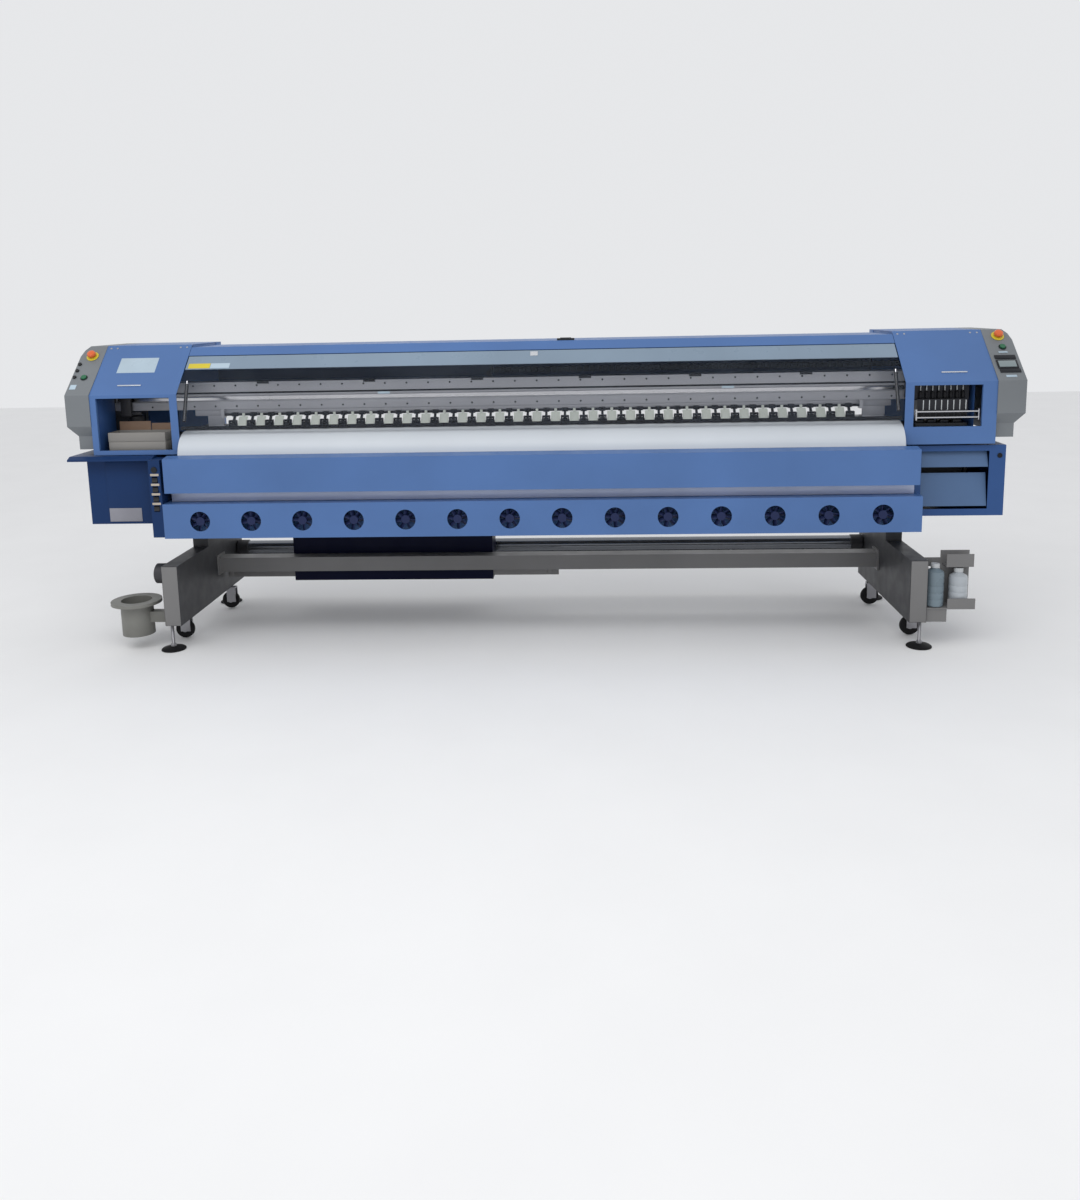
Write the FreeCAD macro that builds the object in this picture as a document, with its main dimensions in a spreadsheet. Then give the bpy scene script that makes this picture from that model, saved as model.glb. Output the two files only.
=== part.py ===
import FreeCAD, Part
import Sketcher
import math
import os
import re

# Wide-format roll printer on two leg frames, with a fan drying unit across the front.
# +X is right as seen from the front, the front faces -Y, +Z is up.
# The origin is the middle of the floor under the machine. Sizes are millimetres.
# "Back" distances in the sheet are measured from the front plane of the drying unit.

doc = FreeCAD.newDocument("wide_roll_printer")
sheet = doc.addObject("Spreadsheet::Sheet", "Sizes")

SIZES = {
    # whole machine
    "total_length": 4220,
    "total_depth": 900,
    "total_height": 1388,
    "bed_length": 3200,
    "left_bay": 400,
    "right_bay": 390,
    "right_hole_width": 291,
    "sheet_wall": 3,
    # legs
    "leg_gap": 3270,
    "leg_width": 75,
    "leg_back": 45,
    "leg_bottom": 120,
    "leg_height": 280,
    "leg_wall": 4,
    "column_back": 430,
    "column_depth": 190,
    "beam_back": 540,
    "beam_bottom": 243,
    "beam_height": 72,
    "beam_depth": 80,
    # casters and levelling feet
    "wheel_radius": 44,
    "wheel_width": 26,
    "wheel_lift": 4,
    "trail": 25,
    "fork_wall": 4,
    "front_caster_back": 235,
    "rear_caster_back": 720,
    "front_foot_back": 75,
    "rear_foot_back": 840,
    "foot_radius": 55,
    "foot_thick": 16,
    "foot_offset": 1692,
    "stem_radius": 8,
    "stem_spare": 45,
    "pin_radius": 6,
    "running_fit": 0.05,
    "side_gap": 1,
    # body profile
    "body_bottom": 905,
    "shoulder_back": 100,
    "shoulder_height": 1175,
    "slope_back": 330,
    "body_depth": 600,
    "cap_wall": 6,
    "cap_step": 30,
    "cap_step_height": 60,
    "cap_chamfer": 46,
    # bed and frame
    "frame_back": 260,
    "frame_depth": 250,
    "frame_bottom": 660,
    "plate_thick": 12,
    "left_plate_inset": 10,
    "right_plate_inset": 77,
    "frame_wall": 8,
    "dryer_arm_width": 30,
    "dryer_arm_height": 100,
    "bed_bottom": 960,
    "bed_top": 1003,
    "bed_front": 170,
    "bed_depth": 260,
    "platen_drop": 98,
    "platen_reach": 110,
    "rear_reach": 120,
    "rear_drop": 110,
    # feed
    "grit_back": 250,
    "grit_radius": 17,
    "grit_rise": 2,
    "grit_length": 2920,
    "pinch_radius": 12,
    "pinch_length": 24,
    "pinch_pitch": 85.2,
    "pinch_count": 34,
    "media_gap": 0.3,
    "pivot_back": 290,
    "pivot_height": 1062,
    "arm_width": 40,
    # guide beam and carriage
    "guide_back": 300,
    "guide_depth": 110,
    "guide_bottom": 1085,
    "guide_height": 127,
    "groove_bottom": 1122,
    "groove_height": 28,
    "groove_depth": 12,
    "guide_wall": 6,
    "carriage_length": 240,
    "carriage_end": 1895,
    "carriage_back": 148,
    "carriage_bottom": 1012,
    "carriage_height": 148,
    "chain_width": 50,
    "chain_height": 24,
    "chain_back": 425,
    "chain_bend_at": -210,
    "chain_spread": 44,
    # lid
    "lid_hinge_back": 272,
    "rail_width": 82,
    "lid_bottom": 1012,
    "window_thick": 4,
    "lid_gap": 3,
    # gas struts
    "strut_x": 1578,
    "strut_back": 112,
    "strut_base": 1052,
    "strut_lean": 68,
    "strut_rise": 176,
    "strut_tube": 8,
    "strut_rod": 4,
    # drying unit
    "fan_box_length": 3320,
    "fan_box_bottom": 539,
    "fan_box_height": 156,
    "fan_box_depth": 110,
    "fan_count": 14,
    "fan_pitch": 230,
    "fan_hole": 90,
    "fan_frame": 120,
    "fan_thick": 25,
    "inlet_length": 100,
    "inlet_depth": 50,
    "fan_height": 616,
    "panel_length": 3292,
    "panel_bottom": 744,
    "panel_top": 897,
    "panel_reach": 58,
    # lower cabinets
    "cabinet_half": 2046,
    "cabinet_bottom": 584,
    "cabinet_depth": 470,
    "cabinet_inner": 1650,
    # electrical box
    "box_centre": -763,
    "box_length": 1014,
    "box_bottom": 175,
    "box_height": 360,
    "box_depth": 170,
    # media shafts
    "shaft_radius": 18,
    "journal_radius": 10,
    "feed_shaft_back": 838,
    "take_shaft_back": 838,
    "feed_shaft_height": 298,
    "take_shaft_height": 228,
    "roller_radius": 36,
    "roller_wall": 3,
    "roller_length": 3180,
    # controls
    "stop_radius": 20,
    "stop_travel": 6,
    "start_radius": 12,
    "start_travel": 3,
    "key_radius": 8,
    "switch_width": 52,
    "rocker_width": 24,
    "rocker_height": 26,
    "rocker_pitch": 43,
    "rocker_top": 805,
    "rocker_count": 4,
    # waste bucket and bottle rack
    "bucket_radius": 72,
    "bucket_rim": 112,
    "bucket_bottom": 66,
    "bucket_height": 160,
    "bucket_x": -1868,
    "bucket_back": 115,
    "bottle_radius": 40,
    "bottle_height": 170,
}
for row, (alias, value) in enumerate(SIZES.items(), start=1):
    sheet.set("A%d" % row, alias)
    sheet.set("B%d" % row, str(value))
    sheet.setAlias("B%d" % row, alias)
doc.recompute()

WORD = re.compile(r"[a-z][a-z_]*")
made = []


def linked(text):
    # turn plain size names into references to the sheet
    def named(word):
        return "Sizes." + word.group() if word.group() in SIZES else word.group()

    return WORD.sub(named, str(text))


def number(text):
    # the present value of an expression of size names, for counts and for shapes set in code
    probe = doc.addObject("App::FeaturePython", "probe")
    probe.addProperty("App::PropertyFloat", "Value")
    probe.setExpression("Value", linked(text))
    doc.recompute([probe])
    answer = probe.Value
    doc.removeObject(probe.Name)
    return answer


def place(shape, x, back, z):
    # "back" is measured from the front plane, so half the depth is taken off
    shape.setExpression("Placement.Base.x", linked(x))
    shape.setExpression("Placement.Base.y", linked("(%s) - total_depth / 2" % back))
    shape.setExpression("Placement.Base.z", linked(z))
    return shape


def block(name, x, back, z, length, depth, height):
    shape = doc.addObject("Part::Box", name)
    shape.setExpression("Length", linked(length))
    shape.setExpression("Width", linked(depth))
    shape.setExpression("Height", linked(height))
    return place(shape, x, back, z)


TURNS = {
    "x": FreeCAD.Rotation(FreeCAD.Vector(0, 1, 0), 90),
    "y": FreeCAD.Rotation(FreeCAD.Vector(1, 0, 0), -90),
    "z": FreeCAD.Rotation(),
}


def rod(name, x, back, z, radius, length, axis="z"):
    # a cylinder that starts at the given point and runs along the axis
    shape = doc.addObject("Part::Cylinder", name)
    shape.setExpression("Radius", linked(radius))
    shape.setExpression("Height", linked(length))
    shape.Placement = FreeCAD.Placement(FreeCAD.Vector(), TURNS[axis])
    return place(shape, x, back, z)


def profile(name, plane, points, length):
    # a PartDesign body: a closed outline in a side or front plane, padded by length.
    # plane YZ: points are (back, height); plane XZ: points are (x, height), padded to the front
    body = doc.addObject("PartDesign::Body", name)
    sketch = body.newObject("Sketcher::SketchObject", name + "_outline")
    origin = [item for item in body.Origin.OriginFeatures if item.Role == plane + "_Plane"][0]
    sketch.AttachmentSupport = (origin, [""])
    sketch.MapMode = "FlatFace"
    corners = [(number(a), number(b)) for a, b in points]
    count = len(corners)
    for index in range(count):
        start = FreeCAD.Vector(corners[index][0], corners[index][1], 0)
        end = FreeCAD.Vector(corners[(index + 1) % count][0], corners[(index + 1) % count][1], 0)
        sketch.addGeometry(Part.LineSegment(start, end), False)
    for index in range(count):
        sketch.addConstraint(Sketcher.Constraint("Coincident", index, 2, (index + 1) % count, 1))
    for index, (across, up) in enumerate(points):
        sides = (("DistanceX", across, corners[index][0]), ("DistanceY", up, corners[index][1]))
        for kind, text, value in sides:
            place_at = sketch.addConstraint(Sketcher.Constraint(kind, -1, 1, index, 1, value))
            sketch.setExpression("Constraints[%d]" % place_at, linked(text))
    pad = body.newObject("PartDesign::Pad", name + "_pad")
    pad.Profile = sketch
    pad.setExpression("Length", linked(length))
    body.Tip = pad
    return body


def side_profile(name, x, points, length):
    return place(profile(name, "YZ", points, length), x, "0", "0")


def fused(name, shapes):
    joined = doc.addObject("Part::MultiFuse", name)
    joined.Shapes = shapes
    return joined


def cut(name, base, tools):
    less = doc.addObject("Part::Cut", name)
    less.Base = base
    less.Tool = tools[0] if len(tools) == 1 else fused(name + "_tools", tools)
    return less


def together(name, shapes):
    # separate solids that share one node
    group = doc.addObject("Part::Compound", name)
    group.Links = shapes
    return group


def finished(label, shape):
    shape.Label = label
    made.append(shape)
    return shape


SIDES = (("left", -1), ("right", 1))


# ---------------------------------------------------------------- legs
def leg(side, sign):
    name = side + "_leg_"
    inner = "leg_gap / 2" if sign > 0 else "-leg_gap / 2 - leg_width"
    depth = "total_depth - leg_back"
    bar = block(name + "bar", inner, "leg_back", "leg_bottom", "leg_width", depth, "leg_height")
    hollow = block(name + "hollow", "(%s) + leg_wall" % inner, "leg_back + leg_wall",
                   "leg_bottom + leg_wall", "leg_width - 2 * leg_wall",
                   "total_depth - leg_back - 2 * leg_wall", "leg_height - 2 * leg_wall")
    column = block(name + "column", inner, "column_back", "leg_bottom + leg_height", "leg_width",
                   "column_depth", "frame_bottom - leg_bottom - leg_height")
    bore = block(name + "bore", "(%s) + leg_wall" % inner, "column_back + leg_wall",
                 "leg_bottom + leg_height - leg_wall", "leg_width - 2 * leg_wall",
                 "column_depth - 2 * leg_wall", "frame_bottom - leg_bottom - leg_height")
    inner_face = "leg_gap / 2 - 1" if sign > 0 else "-leg_gap / 2 - leg_wall - 1"
    holes = [rod(name + shaft + "_hole", inner_face, shaft + "_shaft_back", shaft + "_shaft_height",
                 "journal_radius + running_fit", "leg_wall + 2", "x") for shaft in ("feed", "take")]
    middle = "%d * (leg_gap + leg_width) / 2" % sign
    foot = "%d * foot_offset" % sign
    for end in ("front", "rear"):
        holes.append(rod(name + end + "_caster_hole", middle, end + "_caster_back", "leg_bottom - 1",
                         "stem_radius + running_fit", "leg_wall + 2"))
        holes.append(rod(name + end + "_foot_hole", foot, end + "_foot_back", "leg_bottom - 1",
                         "stem_radius + running_fit", "leg_wall + 2"))
    frame = fused(name + "frame", [bar, column])
    finished(side + "_leg", cut(name + "body", frame, [hollow, bore] + holes))


for side, sign in SIDES:
    leg(side, sign)

tube = block("crossbeam_tube", "-leg_gap / 2", "beam_back", "beam_bottom", "leg_gap", "beam_depth",
             "beam_height")
tube_hollow = block("crossbeam_hollow", "-leg_gap / 2 - 1", "beam_back + leg_wall", "beam_bottom + leg_wall",
                    "leg_gap + 2", "beam_depth - 2 * leg_wall", "beam_height - 2 * leg_wall")
tube_ends = [block("crossbeam_end_%s" % side, x, "beam_back - 12", "beam_bottom - 14", "8", "beam_depth + 12",
                   "beam_height + 28") for side, x in (("left", "-leg_gap / 2"), ("right",
                                                                                  "leg_gap / 2 - 8"))]
finished("crossbeam", fused("crossbeam_body", [cut("crossbeam_shell", tube, [tube_hollow])] + tube_ends))


# ---------------------------------------------------------------- casters and feet
def caster(side, sign, end):
    name = "%s_%s_caster_" % (end, side)
    swivel = "%d * (leg_gap + leg_width) / 2" % sign
    # the front wheels have trailed outwards and the rear ones inwards
    inward = -sign if end == "front" else sign
    axle_x = "(%s) - %d * trail" % (swivel, inward)
    back = end + "_caster_back"
    axle_z = "wheel_lift + wheel_radius"
    cheek_top = "leg_bottom - 4"
    cheeks = []
    offsets = (("front", "-wheel_width / 2 - side_gap - fork_wall"), ("back", "wheel_width / 2 + side_gap"))
    for cheek, offset in offsets:
        cheeks.append(block(name + cheek, "(%s) - 17" % axle_x, "%s + (%s)" % (back, offset),
                            axle_z + " - 10",
                            "34 + trail / 2", "fork_wall", "%s - (%s) + 10" % (cheek_top, axle_z)))
    crown = rod(name + "crown", swivel, back, "leg_bottom - 8", "27", "7.7")
    stem = rod(name + "stem", swivel, back, "leg_bottom - 4", "stem_radius", "leg_wall + 4")
    bridge = block(name + "bridge", "(%s) - 17" % axle_x,
                   "%s - wheel_width / 2 - side_gap - fork_wall" % back,
                   "leg_bottom - 10", "34 + trail / 2", "wheel_width + 2 * side_gap + 2 * fork_wall", "6")
    span = "wheel_width + 2 * side_gap + 2 * fork_wall"
    bore = rod(name + "bore", axle_x, "%s - (%s) / 2 - 1" % (back, span), axle_z, "pin_radius + running_fit",
               span + " + 2", "y")
    finished("%s_%s_caster_fork" % (end, side),
             cut(name + "fork", fused(name + "frame", cheeks + [crown, stem, bridge]), [bore]))
    tyre = rod(name + "tyre", axle_x, back + " - wheel_width / 2", axle_z, "wheel_radius", "wheel_width", "y")
    axle = rod(name + "axle", axle_x, "%s - (%s) / 2" % (back, span), axle_z, "pin_radius", span, "y")
    finished("%s_%s_caster_wheel" % (end, side), fused(name + "wheel", [tyre, axle]))


def foot(side, sign, end):
    name = "%s_%s_foot_" % (end, side)
    across = "%d * foot_offset" % sign
    back = end + "_foot_back"
    disc = doc.addObject("Part::Cone", name + "disc")
    disc.setExpression("Radius1", linked("foot_radius"))
    disc.setExpression("Radius2", linked("foot_radius - 8"))
    disc.setExpression("Height", linked("foot_thick"))
    place(disc, across, back, "0")
    stem = rod(name + "stem", across, back, "foot_thick - 1", "stem_radius",
               "leg_bottom + leg_wall - foot_thick + stem_spare")
    nut = rod(name + "nut", across, back, "foot_thick - 1", "14", "13")
    finished("%s_%s_foot" % (end, side), fused(name + "body", [disc, stem, nut]))


for side, sign in SIDES:
    for end in ("front", "rear"):
        caster(side, sign, end)
        foot(side, sign, end)


# ---------------------------------------------------------------- main frame, bed and platens
left_plate = "-bed_length / 2 - left_bay + left_plate_inset"
right_plate = "bed_length / 2 + right_bay - right_plate_inset"
plate_depth = "shoulder_back + body_depth - 60"
beam_length = "bed_length + left_bay + right_bay - left_plate_inset - right_plate_inset - plate_thick"
beam = block("frame_beam", left_plate + " + plate_thick", "frame_back", "frame_bottom", beam_length,
             "frame_depth",
             "bed_bottom - frame_bottom")
beam_hollow = block("frame_hollow", left_plate + " + plate_thick + frame_wall", "frame_back + frame_wall",
                    "frame_bottom + frame_wall", beam_length + " - 2 * frame_wall",
                    "frame_depth - 2 * frame_wall", "bed_bottom - frame_bottom - 2 * frame_wall")
frame_parts = [cut("frame_shell", beam, [beam_hollow])]
for side, x in (("left", left_plate), ("right", right_plate)):
    frame_parts.append(block("frame_plate_" + side, x, "frame_back - 20", "frame_bottom", "plate_thick",
                             plate_depth + " - frame_back", "shoulder_height + 30 - frame_bottom"))
rib_places = ("-fan_box_length / 2 + 120", "-500", "500", "fan_box_length / 2 - 150")
for index, x in enumerate(rib_places):
    frame_parts.append(block("frame_arm_%d" % index, x, "fan_box_depth",
                             "fan_box_bottom + fan_box_height - 60",
                             "dryer_arm_width", "frame_back - fan_box_depth + 1", "dryer_arm_height"))
frame_parts.append(block("frame_dryer_rail", "-panel_length / 2 + 4", "fan_box_depth",
                         "fan_box_bottom + fan_box_height - 30", "panel_length - 8", "4",
                         "panel_bottom - fan_box_bottom - fan_box_height + 60"))
finished("main_frame", fused("main_frame_body", frame_parts))

grit_height = "bed_top + grit_rise - grit_radius"
bed = block("bed_slab", "-bed_length / 2 + side_gap", "bed_front", "bed_bottom", "bed_length - 2 * side_gap",
            "bed_depth", "bed_top - bed_bottom")
bed_slot = block("bed_slot", "-grit_length / 2 - side_gap", "grit_back - grit_radius - 2",
                 grit_height + " - grit_radius - 2", "grit_length + 2 * side_gap", "2 * grit_radius + 4",
                 "2 * grit_radius + 40")
bed_bore = rod("bed_bore", "-grit_length / 2 - 30", "grit_back", grit_height,
               "journal_radius - 2 + running_fit",
               "grit_length + 60", "x")
finished("print_bed", cut("print_bed_body", bed, [bed_slot, bed_bore]))

grit = rod("grit_core", "-grit_length / 2", "grit_back", grit_height, "grit_radius", "grit_length", "x")
grit_journal = rod("grit_journal", "-grit_length / 2 - 28", "grit_back", grit_height, "journal_radius - 2",
                   "grit_length + 56", "x")
finished("grit_roller", fused("grit_roller_body", [grit, grit_journal]))


def curved_platen(label, edge_back, reach, drop, sign):
    # a bent sheet: a quarter-round from the bed edge down to the outer lip, worked from reach and drop
    reach = number(reach)
    drop = number(drop)
    top = number("bed_top")
    edge = number(edge_back) - number("total_depth") / 2
    wall = number("sheet_wall")
    radius = (reach * reach + drop * drop) / (2 * drop)
    middle = top - radius
    angle = math.asin(min(1.0, reach / radius))

    def on_arc(size, turn):
        return FreeCAD.Vector(0, edge + sign * size * math.sin(turn), middle + size * math.cos(turn))

    outer = Part.Arc(on_arc(radius, 0), on_arc(radius, angle / 2), on_arc(radius, angle))
    inner = Part.Arc(on_arc(radius - wall, angle), on_arc(radius - wall, angle / 2), on_arc(radius - wall, 0))
    tip = Part.LineSegment(on_arc(radius, angle), on_arc(radius - wall, angle))
    root = Part.LineSegment(on_arc(radius - wall, 0), on_arc(radius, 0))
    face = Part.Face(Part.Wire([outer.toShape(), tip.toShape(), inner.toShape(), root.toShape()]))
    length = number("bed_length - 2 * side_gap")
    sheet_metal = doc.addObject("Part::Feature", label + "_body")
    sheet_metal.Shape = face.extrude(FreeCAD.Vector(length, 0, 0))
    sheet_metal.Placement = FreeCAD.Placement(FreeCAD.Vector(-length / 2, 0, 0), FreeCAD.Rotation())
    finished(label, sheet_metal)


curved_platen("front_platen", "bed_front", "platen_reach", "platen_drop", -1)
curved_platen("rear_platen", "bed_front + bed_depth", "rear_reach", "rear_drop", 1)

# ---------------------------------------------------------------- pinch rollers
pinch_height = "bed_top + grit_rise + media_gap + pinch_radius"
first_arm = "-(pinch_count - 1) / 2 * pinch_pitch"
arm_points = [("grit_back - 8", pinch_height + " - 8"), ("grit_back + 8", pinch_height + " - 8"),
              ("pivot_back + 12", "pivot_height - 12"), ("pivot_back + 8", "pivot_height + 10"),
              ("pivot_back - 12", "pivot_height + 10"), ("grit_back - 8", pinch_height + " + 8")]
count = int(number("pinch_count"))
arms = []
wheels = []
for index in range(count):
    start = "%s + %d * pinch_pitch" % (first_arm, index)
    arm = side_profile("pinch_arm_%02d" % index, start + " - arm_width / 2", arm_points, "arm_width")
    notch = block("pinch_notch_%02d" % index, start + " - pinch_length / 2 - side_gap",
                  "grit_back - pinch_radius - 3",
                  pinch_height + " - pinch_radius - 2", "pinch_length + 2 * side_gap", "2 * pinch_radius + 6",
                  "2 * pinch_radius + 5")
    hole = rod("pinch_hole_%02d" % index, start + " - arm_width / 2 - 1", "grit_back", pinch_height,
               "pin_radius / 2 + running_fit", "arm_width + 2", "x")
    arms.append(cut("pinch_finger_%02d" % index, arm, [notch, hole]))
    tread = rod("pinch_tread_%02d" % index, start + " - pinch_length / 2", "grit_back", pinch_height,
                "pinch_radius",
                "pinch_length", "x")
    pin = rod("pinch_pin_%02d" % index, start + " - arm_width / 2", "grit_back", pinch_height,
              "pin_radius / 2",
              "arm_width", "x")
    wheels.append(fused("pinch_wheel_%02d" % index, [tread, pin]))
lift_half = "pinch_count / 2 * pinch_pitch + 20"
lift_shaft = rod("pinch_lift_shaft", "-(%s)" % lift_half, "pivot_back", "pivot_height", "pin_radius",
                 "2 * (%s)" % lift_half, "x")
finished("pinch_arms", fused("pinch_arms_body", [lift_shaft] + arms))
finished("pinch_wheels", together("pinch_wheels_body", wheels))

# ---------------------------------------------------------------- guide beam, chain and carriage
guide_left = left_plate + " + plate_thick"
guide = block("guide_bar", guide_left, "guide_back", "guide_bottom", beam_length, "guide_depth",
              "guide_height")
guide_hollow = block("guide_hollow", guide_left + " - 1", "guide_back + groove_depth + guide_wall",
                     "guide_bottom + guide_wall", beam_length + " + 2",
                     "guide_depth - groove_depth - 2 * guide_wall", "guide_height - 2 * guide_wall")
groove = block("guide_groove", guide_left + " - 1", "guide_back - 1", "groove_bottom", beam_length + " + 2",
               "groove_depth + 1", "groove_height")
guide_parts = [cut("guide_section", guide, [guide_hollow, groove])]
guide_parts.append(block("chain_tray", guide_left, "guide_back + guide_depth",
                         "guide_bottom + guide_height - 35",
                         beam_length, "chain_width + 16", "4"))
for side, sign in SIDES:
    start = "-(%s) - 2" % lift_half if sign < 0 else "%s - 14" % lift_half
    lug = block("lift_lug_" + side, start, "pivot_back - 12", "pivot_height - 14", "16",
                "guide_back - pivot_back + 24",
                "guide_bottom - pivot_height + 15")
    lug_bore = rod("lift_lug_bore_" + side, start + " - 1", "pivot_back", "pivot_height",
                   "pin_radius + running_fit",
                   "18", "x")
    guide_parts.append(cut("lift_bearing_" + side, lug, [lug_bore]))
finished("guide_beam", fused("guide_beam_body", guide_parts))

chain_base = "guide_bottom + guide_height - 30"
bend_radius = "chain_spread / 2 + chain_height / 2"
bend_outer = rod("chain_bend_outer", "chain_bend_at", "chain_back", chain_base + " + " + bend_radius,
                 bend_radius,
                 "chain_width", "y")
bend_half = block("chain_bend_half", "chain_bend_at", "chain_back - 1", chain_base + " - 1",
                  bend_radius + " + 1",
                  "chain_width + 2", "2 * (%s) + 2" % bend_radius)
bend_inner = rod("chain_bend_inner", "chain_bend_at", "chain_back - 1", chain_base + " + " + bend_radius,
                 "chain_spread / 2 - chain_height / 2", "chain_width + 2", "y")
finished("chain_bend", cut("chain_bend_body", bend_outer, [bend_half, bend_inner]))
chain_top = "%s + 2 * (%s) - chain_height" % (chain_base, bend_radius)
carriage_start = "carriage_end - carriage_length"
finished("chain_run", block("chain_run_body", "chain_bend_at + 1", "chain_back", chain_top,
                            carriage_start + " + 30 - chain_bend_at - 1", "chain_width", "chain_height"))

head_block = block("carriage_heads", carriage_start + " + 12", "carriage_back", "carriage_bottom",
                   "carriage_length - 24", "grit_back - pinch_radius - 12 - carriage_back", "85")
housing = block("carriage_housing", carriage_start, "carriage_back + 24", "carriage_bottom + 80",
                "carriage_length",
                "guide_back - 3 - carriage_back - 24", "carriage_height - 80")
runner = block("carriage_runner", carriage_start + " + 20", "guide_back - 4", "groove_bottom + 1",
               "carriage_length - 40", "groove_depth + 2", "groove_height - 2")
bridge_top = "guide_bottom + guide_height + 38"
bridge = block("carriage_bridge", carriage_start + " + 30", "carriage_back + 92",
               "carriage_bottom + carriage_height - 4", "60", "chain_back + chain_width - carriage_back - 92",
               bridge_top + " - carriage_bottom - carriage_height + 4")
bridge_gap = block("carriage_bridge_gap", carriage_start + " + 20", "guide_back - 3.5",
                   "carriage_bottom + carriage_height - 6", "80",
                   "chain_back + chain_width - guide_back + 10",
                   "guide_bottom + guide_height + 4 - carriage_bottom - carriage_height + 6")
arm_of_bridge = cut("carriage_arm", bridge, [bridge_gap])
finished("carriage", fused("carriage_body", [head_block, housing, runner, arm_of_bridge]))


# ---------------------------------------------------------------- outer casings
slope_run = "(slope_back - shoulder_back)"
slope_rise = "(total_height - shoulder_height)"
slope_size = "sqrt(%s * %s + %s * %s)" % (slope_run, slope_run, slope_rise, slope_rise)
back_end = "shoulder_back + body_depth"


def casing_points(wall, bottom):
    # outline of the casing's bent sheet at a distance inside its outer face
    front = "shoulder_back + %s" % wall
    rear = "%s - %s" % (back_end, wall)
    top = "total_height - %s" % wall
    low = "shoulder_height - %s * (%s - %s) / %s" % (wall, slope_size, slope_rise, slope_run)
    high = "slope_back + %s * (%s - %s) / %s" % (wall, slope_size, slope_run, slope_rise)
    return [(front, bottom), (front, low), (high, top), (rear, top), (rear, bottom)]


def hood(side, x, width, openings):
    outer = side_profile(side + "_hood_outer", x, casing_points("0", "body_bottom"), width)
    inner = side_profile(side + "_hood_inner", "(%s) - 1" % x, casing_points("sheet_wall", "body_bottom - 1"),
                         width + " + 2")
    finished(side + "_hood", cut(side + "_hood_body", outer, [inner] + openings))


left_opening = block("left_hood_opening", "-bed_length / 2 - left_bay + 28", "shoulder_back - 5",
                     "body_bottom + 20",
                     "left_bay - 64", "sheet_wall + 10", "shoulder_height - body_bottom - 34")
right_opening = block("right_hood_opening", "bed_length / 2 + 38", "shoulder_back - 5", "body_bottom + 76",
                      "right_hole_width", "sheet_wall + 10", "shoulder_height - body_bottom - 90")
hood("left", "-bed_length / 2 - left_bay", "left_bay - side_gap", [left_opening])
hood("right", "bed_length / 2 + side_gap", "right_bay - side_gap", [right_opening])


def end_cap(side, sign):
    # a moulded end: the casing outline, proud of it, trimmed to a leaning and chamfered outer side
    bay = side + "_bay"
    width = "total_length / 2 - bed_length / 2 - " + bay
    start = "bed_length / 2 + " + bay if sign > 0 else "-total_length / 2"
    step_back = "shoulder_back - 4 + cap_step"
    step_top = "body_bottom + 25 + cap_step_height"
    proud = [(step_back, "body_bottom + 25"), (step_back, step_top),
             ("shoulder_back - 4", step_top + " + cap_chamfer"), ("shoulder_back - 4", "shoulder_height + 2"),
             ("slope_back - 2", "total_height"), (back_end, "total_height"), (back_end, "body_bottom + 25")]
    outer = side_profile(side + "_cap_side", start, proud, width)
    edge = [("%d * (bed_length / 2 + %s - 1)" % (sign, bay), "body_bottom + 20"),
            ("%d * (total_length / 2 - 35)" % sign, "body_bottom + 20"),
            ("%d * (total_length / 2 - 35)" % sign, step_top),
            ("%d * total_length / 2" % sign, step_top + " + cap_chamfer"),
            ("%d * total_length / 2" % sign, "total_height - 45"),
            ("%d * (total_length / 2 - 10)" % sign, "total_height - 18"),
            ("%d * (total_length / 2 - 34)" % sign, "total_height + 5"),
            ("%d * (bed_length / 2 + %s - 1)" % (sign, bay), "total_height + 5")]
    front = profile(side + "_cap_front", "XZ", edge, "body_depth + 40")
    place(front, "0", back_end + " + 10", "0")
    trimmed = doc.addObject("Part::MultiCommon", side + "_cap_trimmed")
    trimmed.Shapes = [outer, front]
    hollow_width = "(%s) - 40" % width
    hollow_start = "bed_length / 2 + %s - 1" % bay if sign > 0 else "-total_length / 2 + 41"
    stepped = [(step_back + " + cap_wall + 4", "body_bottom"), (step_back + " + cap_wall + 4", step_top),
               ("shoulder_back + cap_wall", step_top + " + cap_chamfer")]
    hollow = side_profile(side + "_cap_hollow", hollow_start,
                          stepped + casing_points("cap_wall", "body_bottom")[1:], hollow_width)
    stop_hole = tilted(side + "_stop_hole", stop_x(sign), stop_place(sign), "-20", "9", "40")
    start_hole = tilted(side + "_start_hole", start_x(sign), start_place(sign), "-20",
                        "start_radius + side_gap", "40")
    holes = [stop_hole, start_hole]
    if sign < 0:
        for index, place_up in enumerate(KEY_PLACES):
            holes.append(tilted("left_key_hole_%d" % index, key_x(), place_up, "-20",
                                "key_radius + side_gap", "40"))
    finished(side + "_end_cap", cut(side + "_end_cap_body", trimmed, [hollow] + holes))


# ---------------------------------------------------------------- push buttons on the sloping caps
KEY_PLACES = ("0.62", "0.49", "0.36")
SLOPE_TURN = "atan(%s / %s)" % (slope_rise, slope_run)


def stop_x(sign):
    return "%d * (total_length / 2 - 58)" % sign


def stop_place(sign):
    return "0.86" if sign > 0 else "0.78"


def start_x(sign):
    return "%d * (total_length / 2 - %d)" % (sign, 54 if sign > 0 else 58)


def start_place(sign):
    return "0.64" if sign > 0 else "0.35"


def key_x():
    return "-total_length / 2 + 13"


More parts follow.
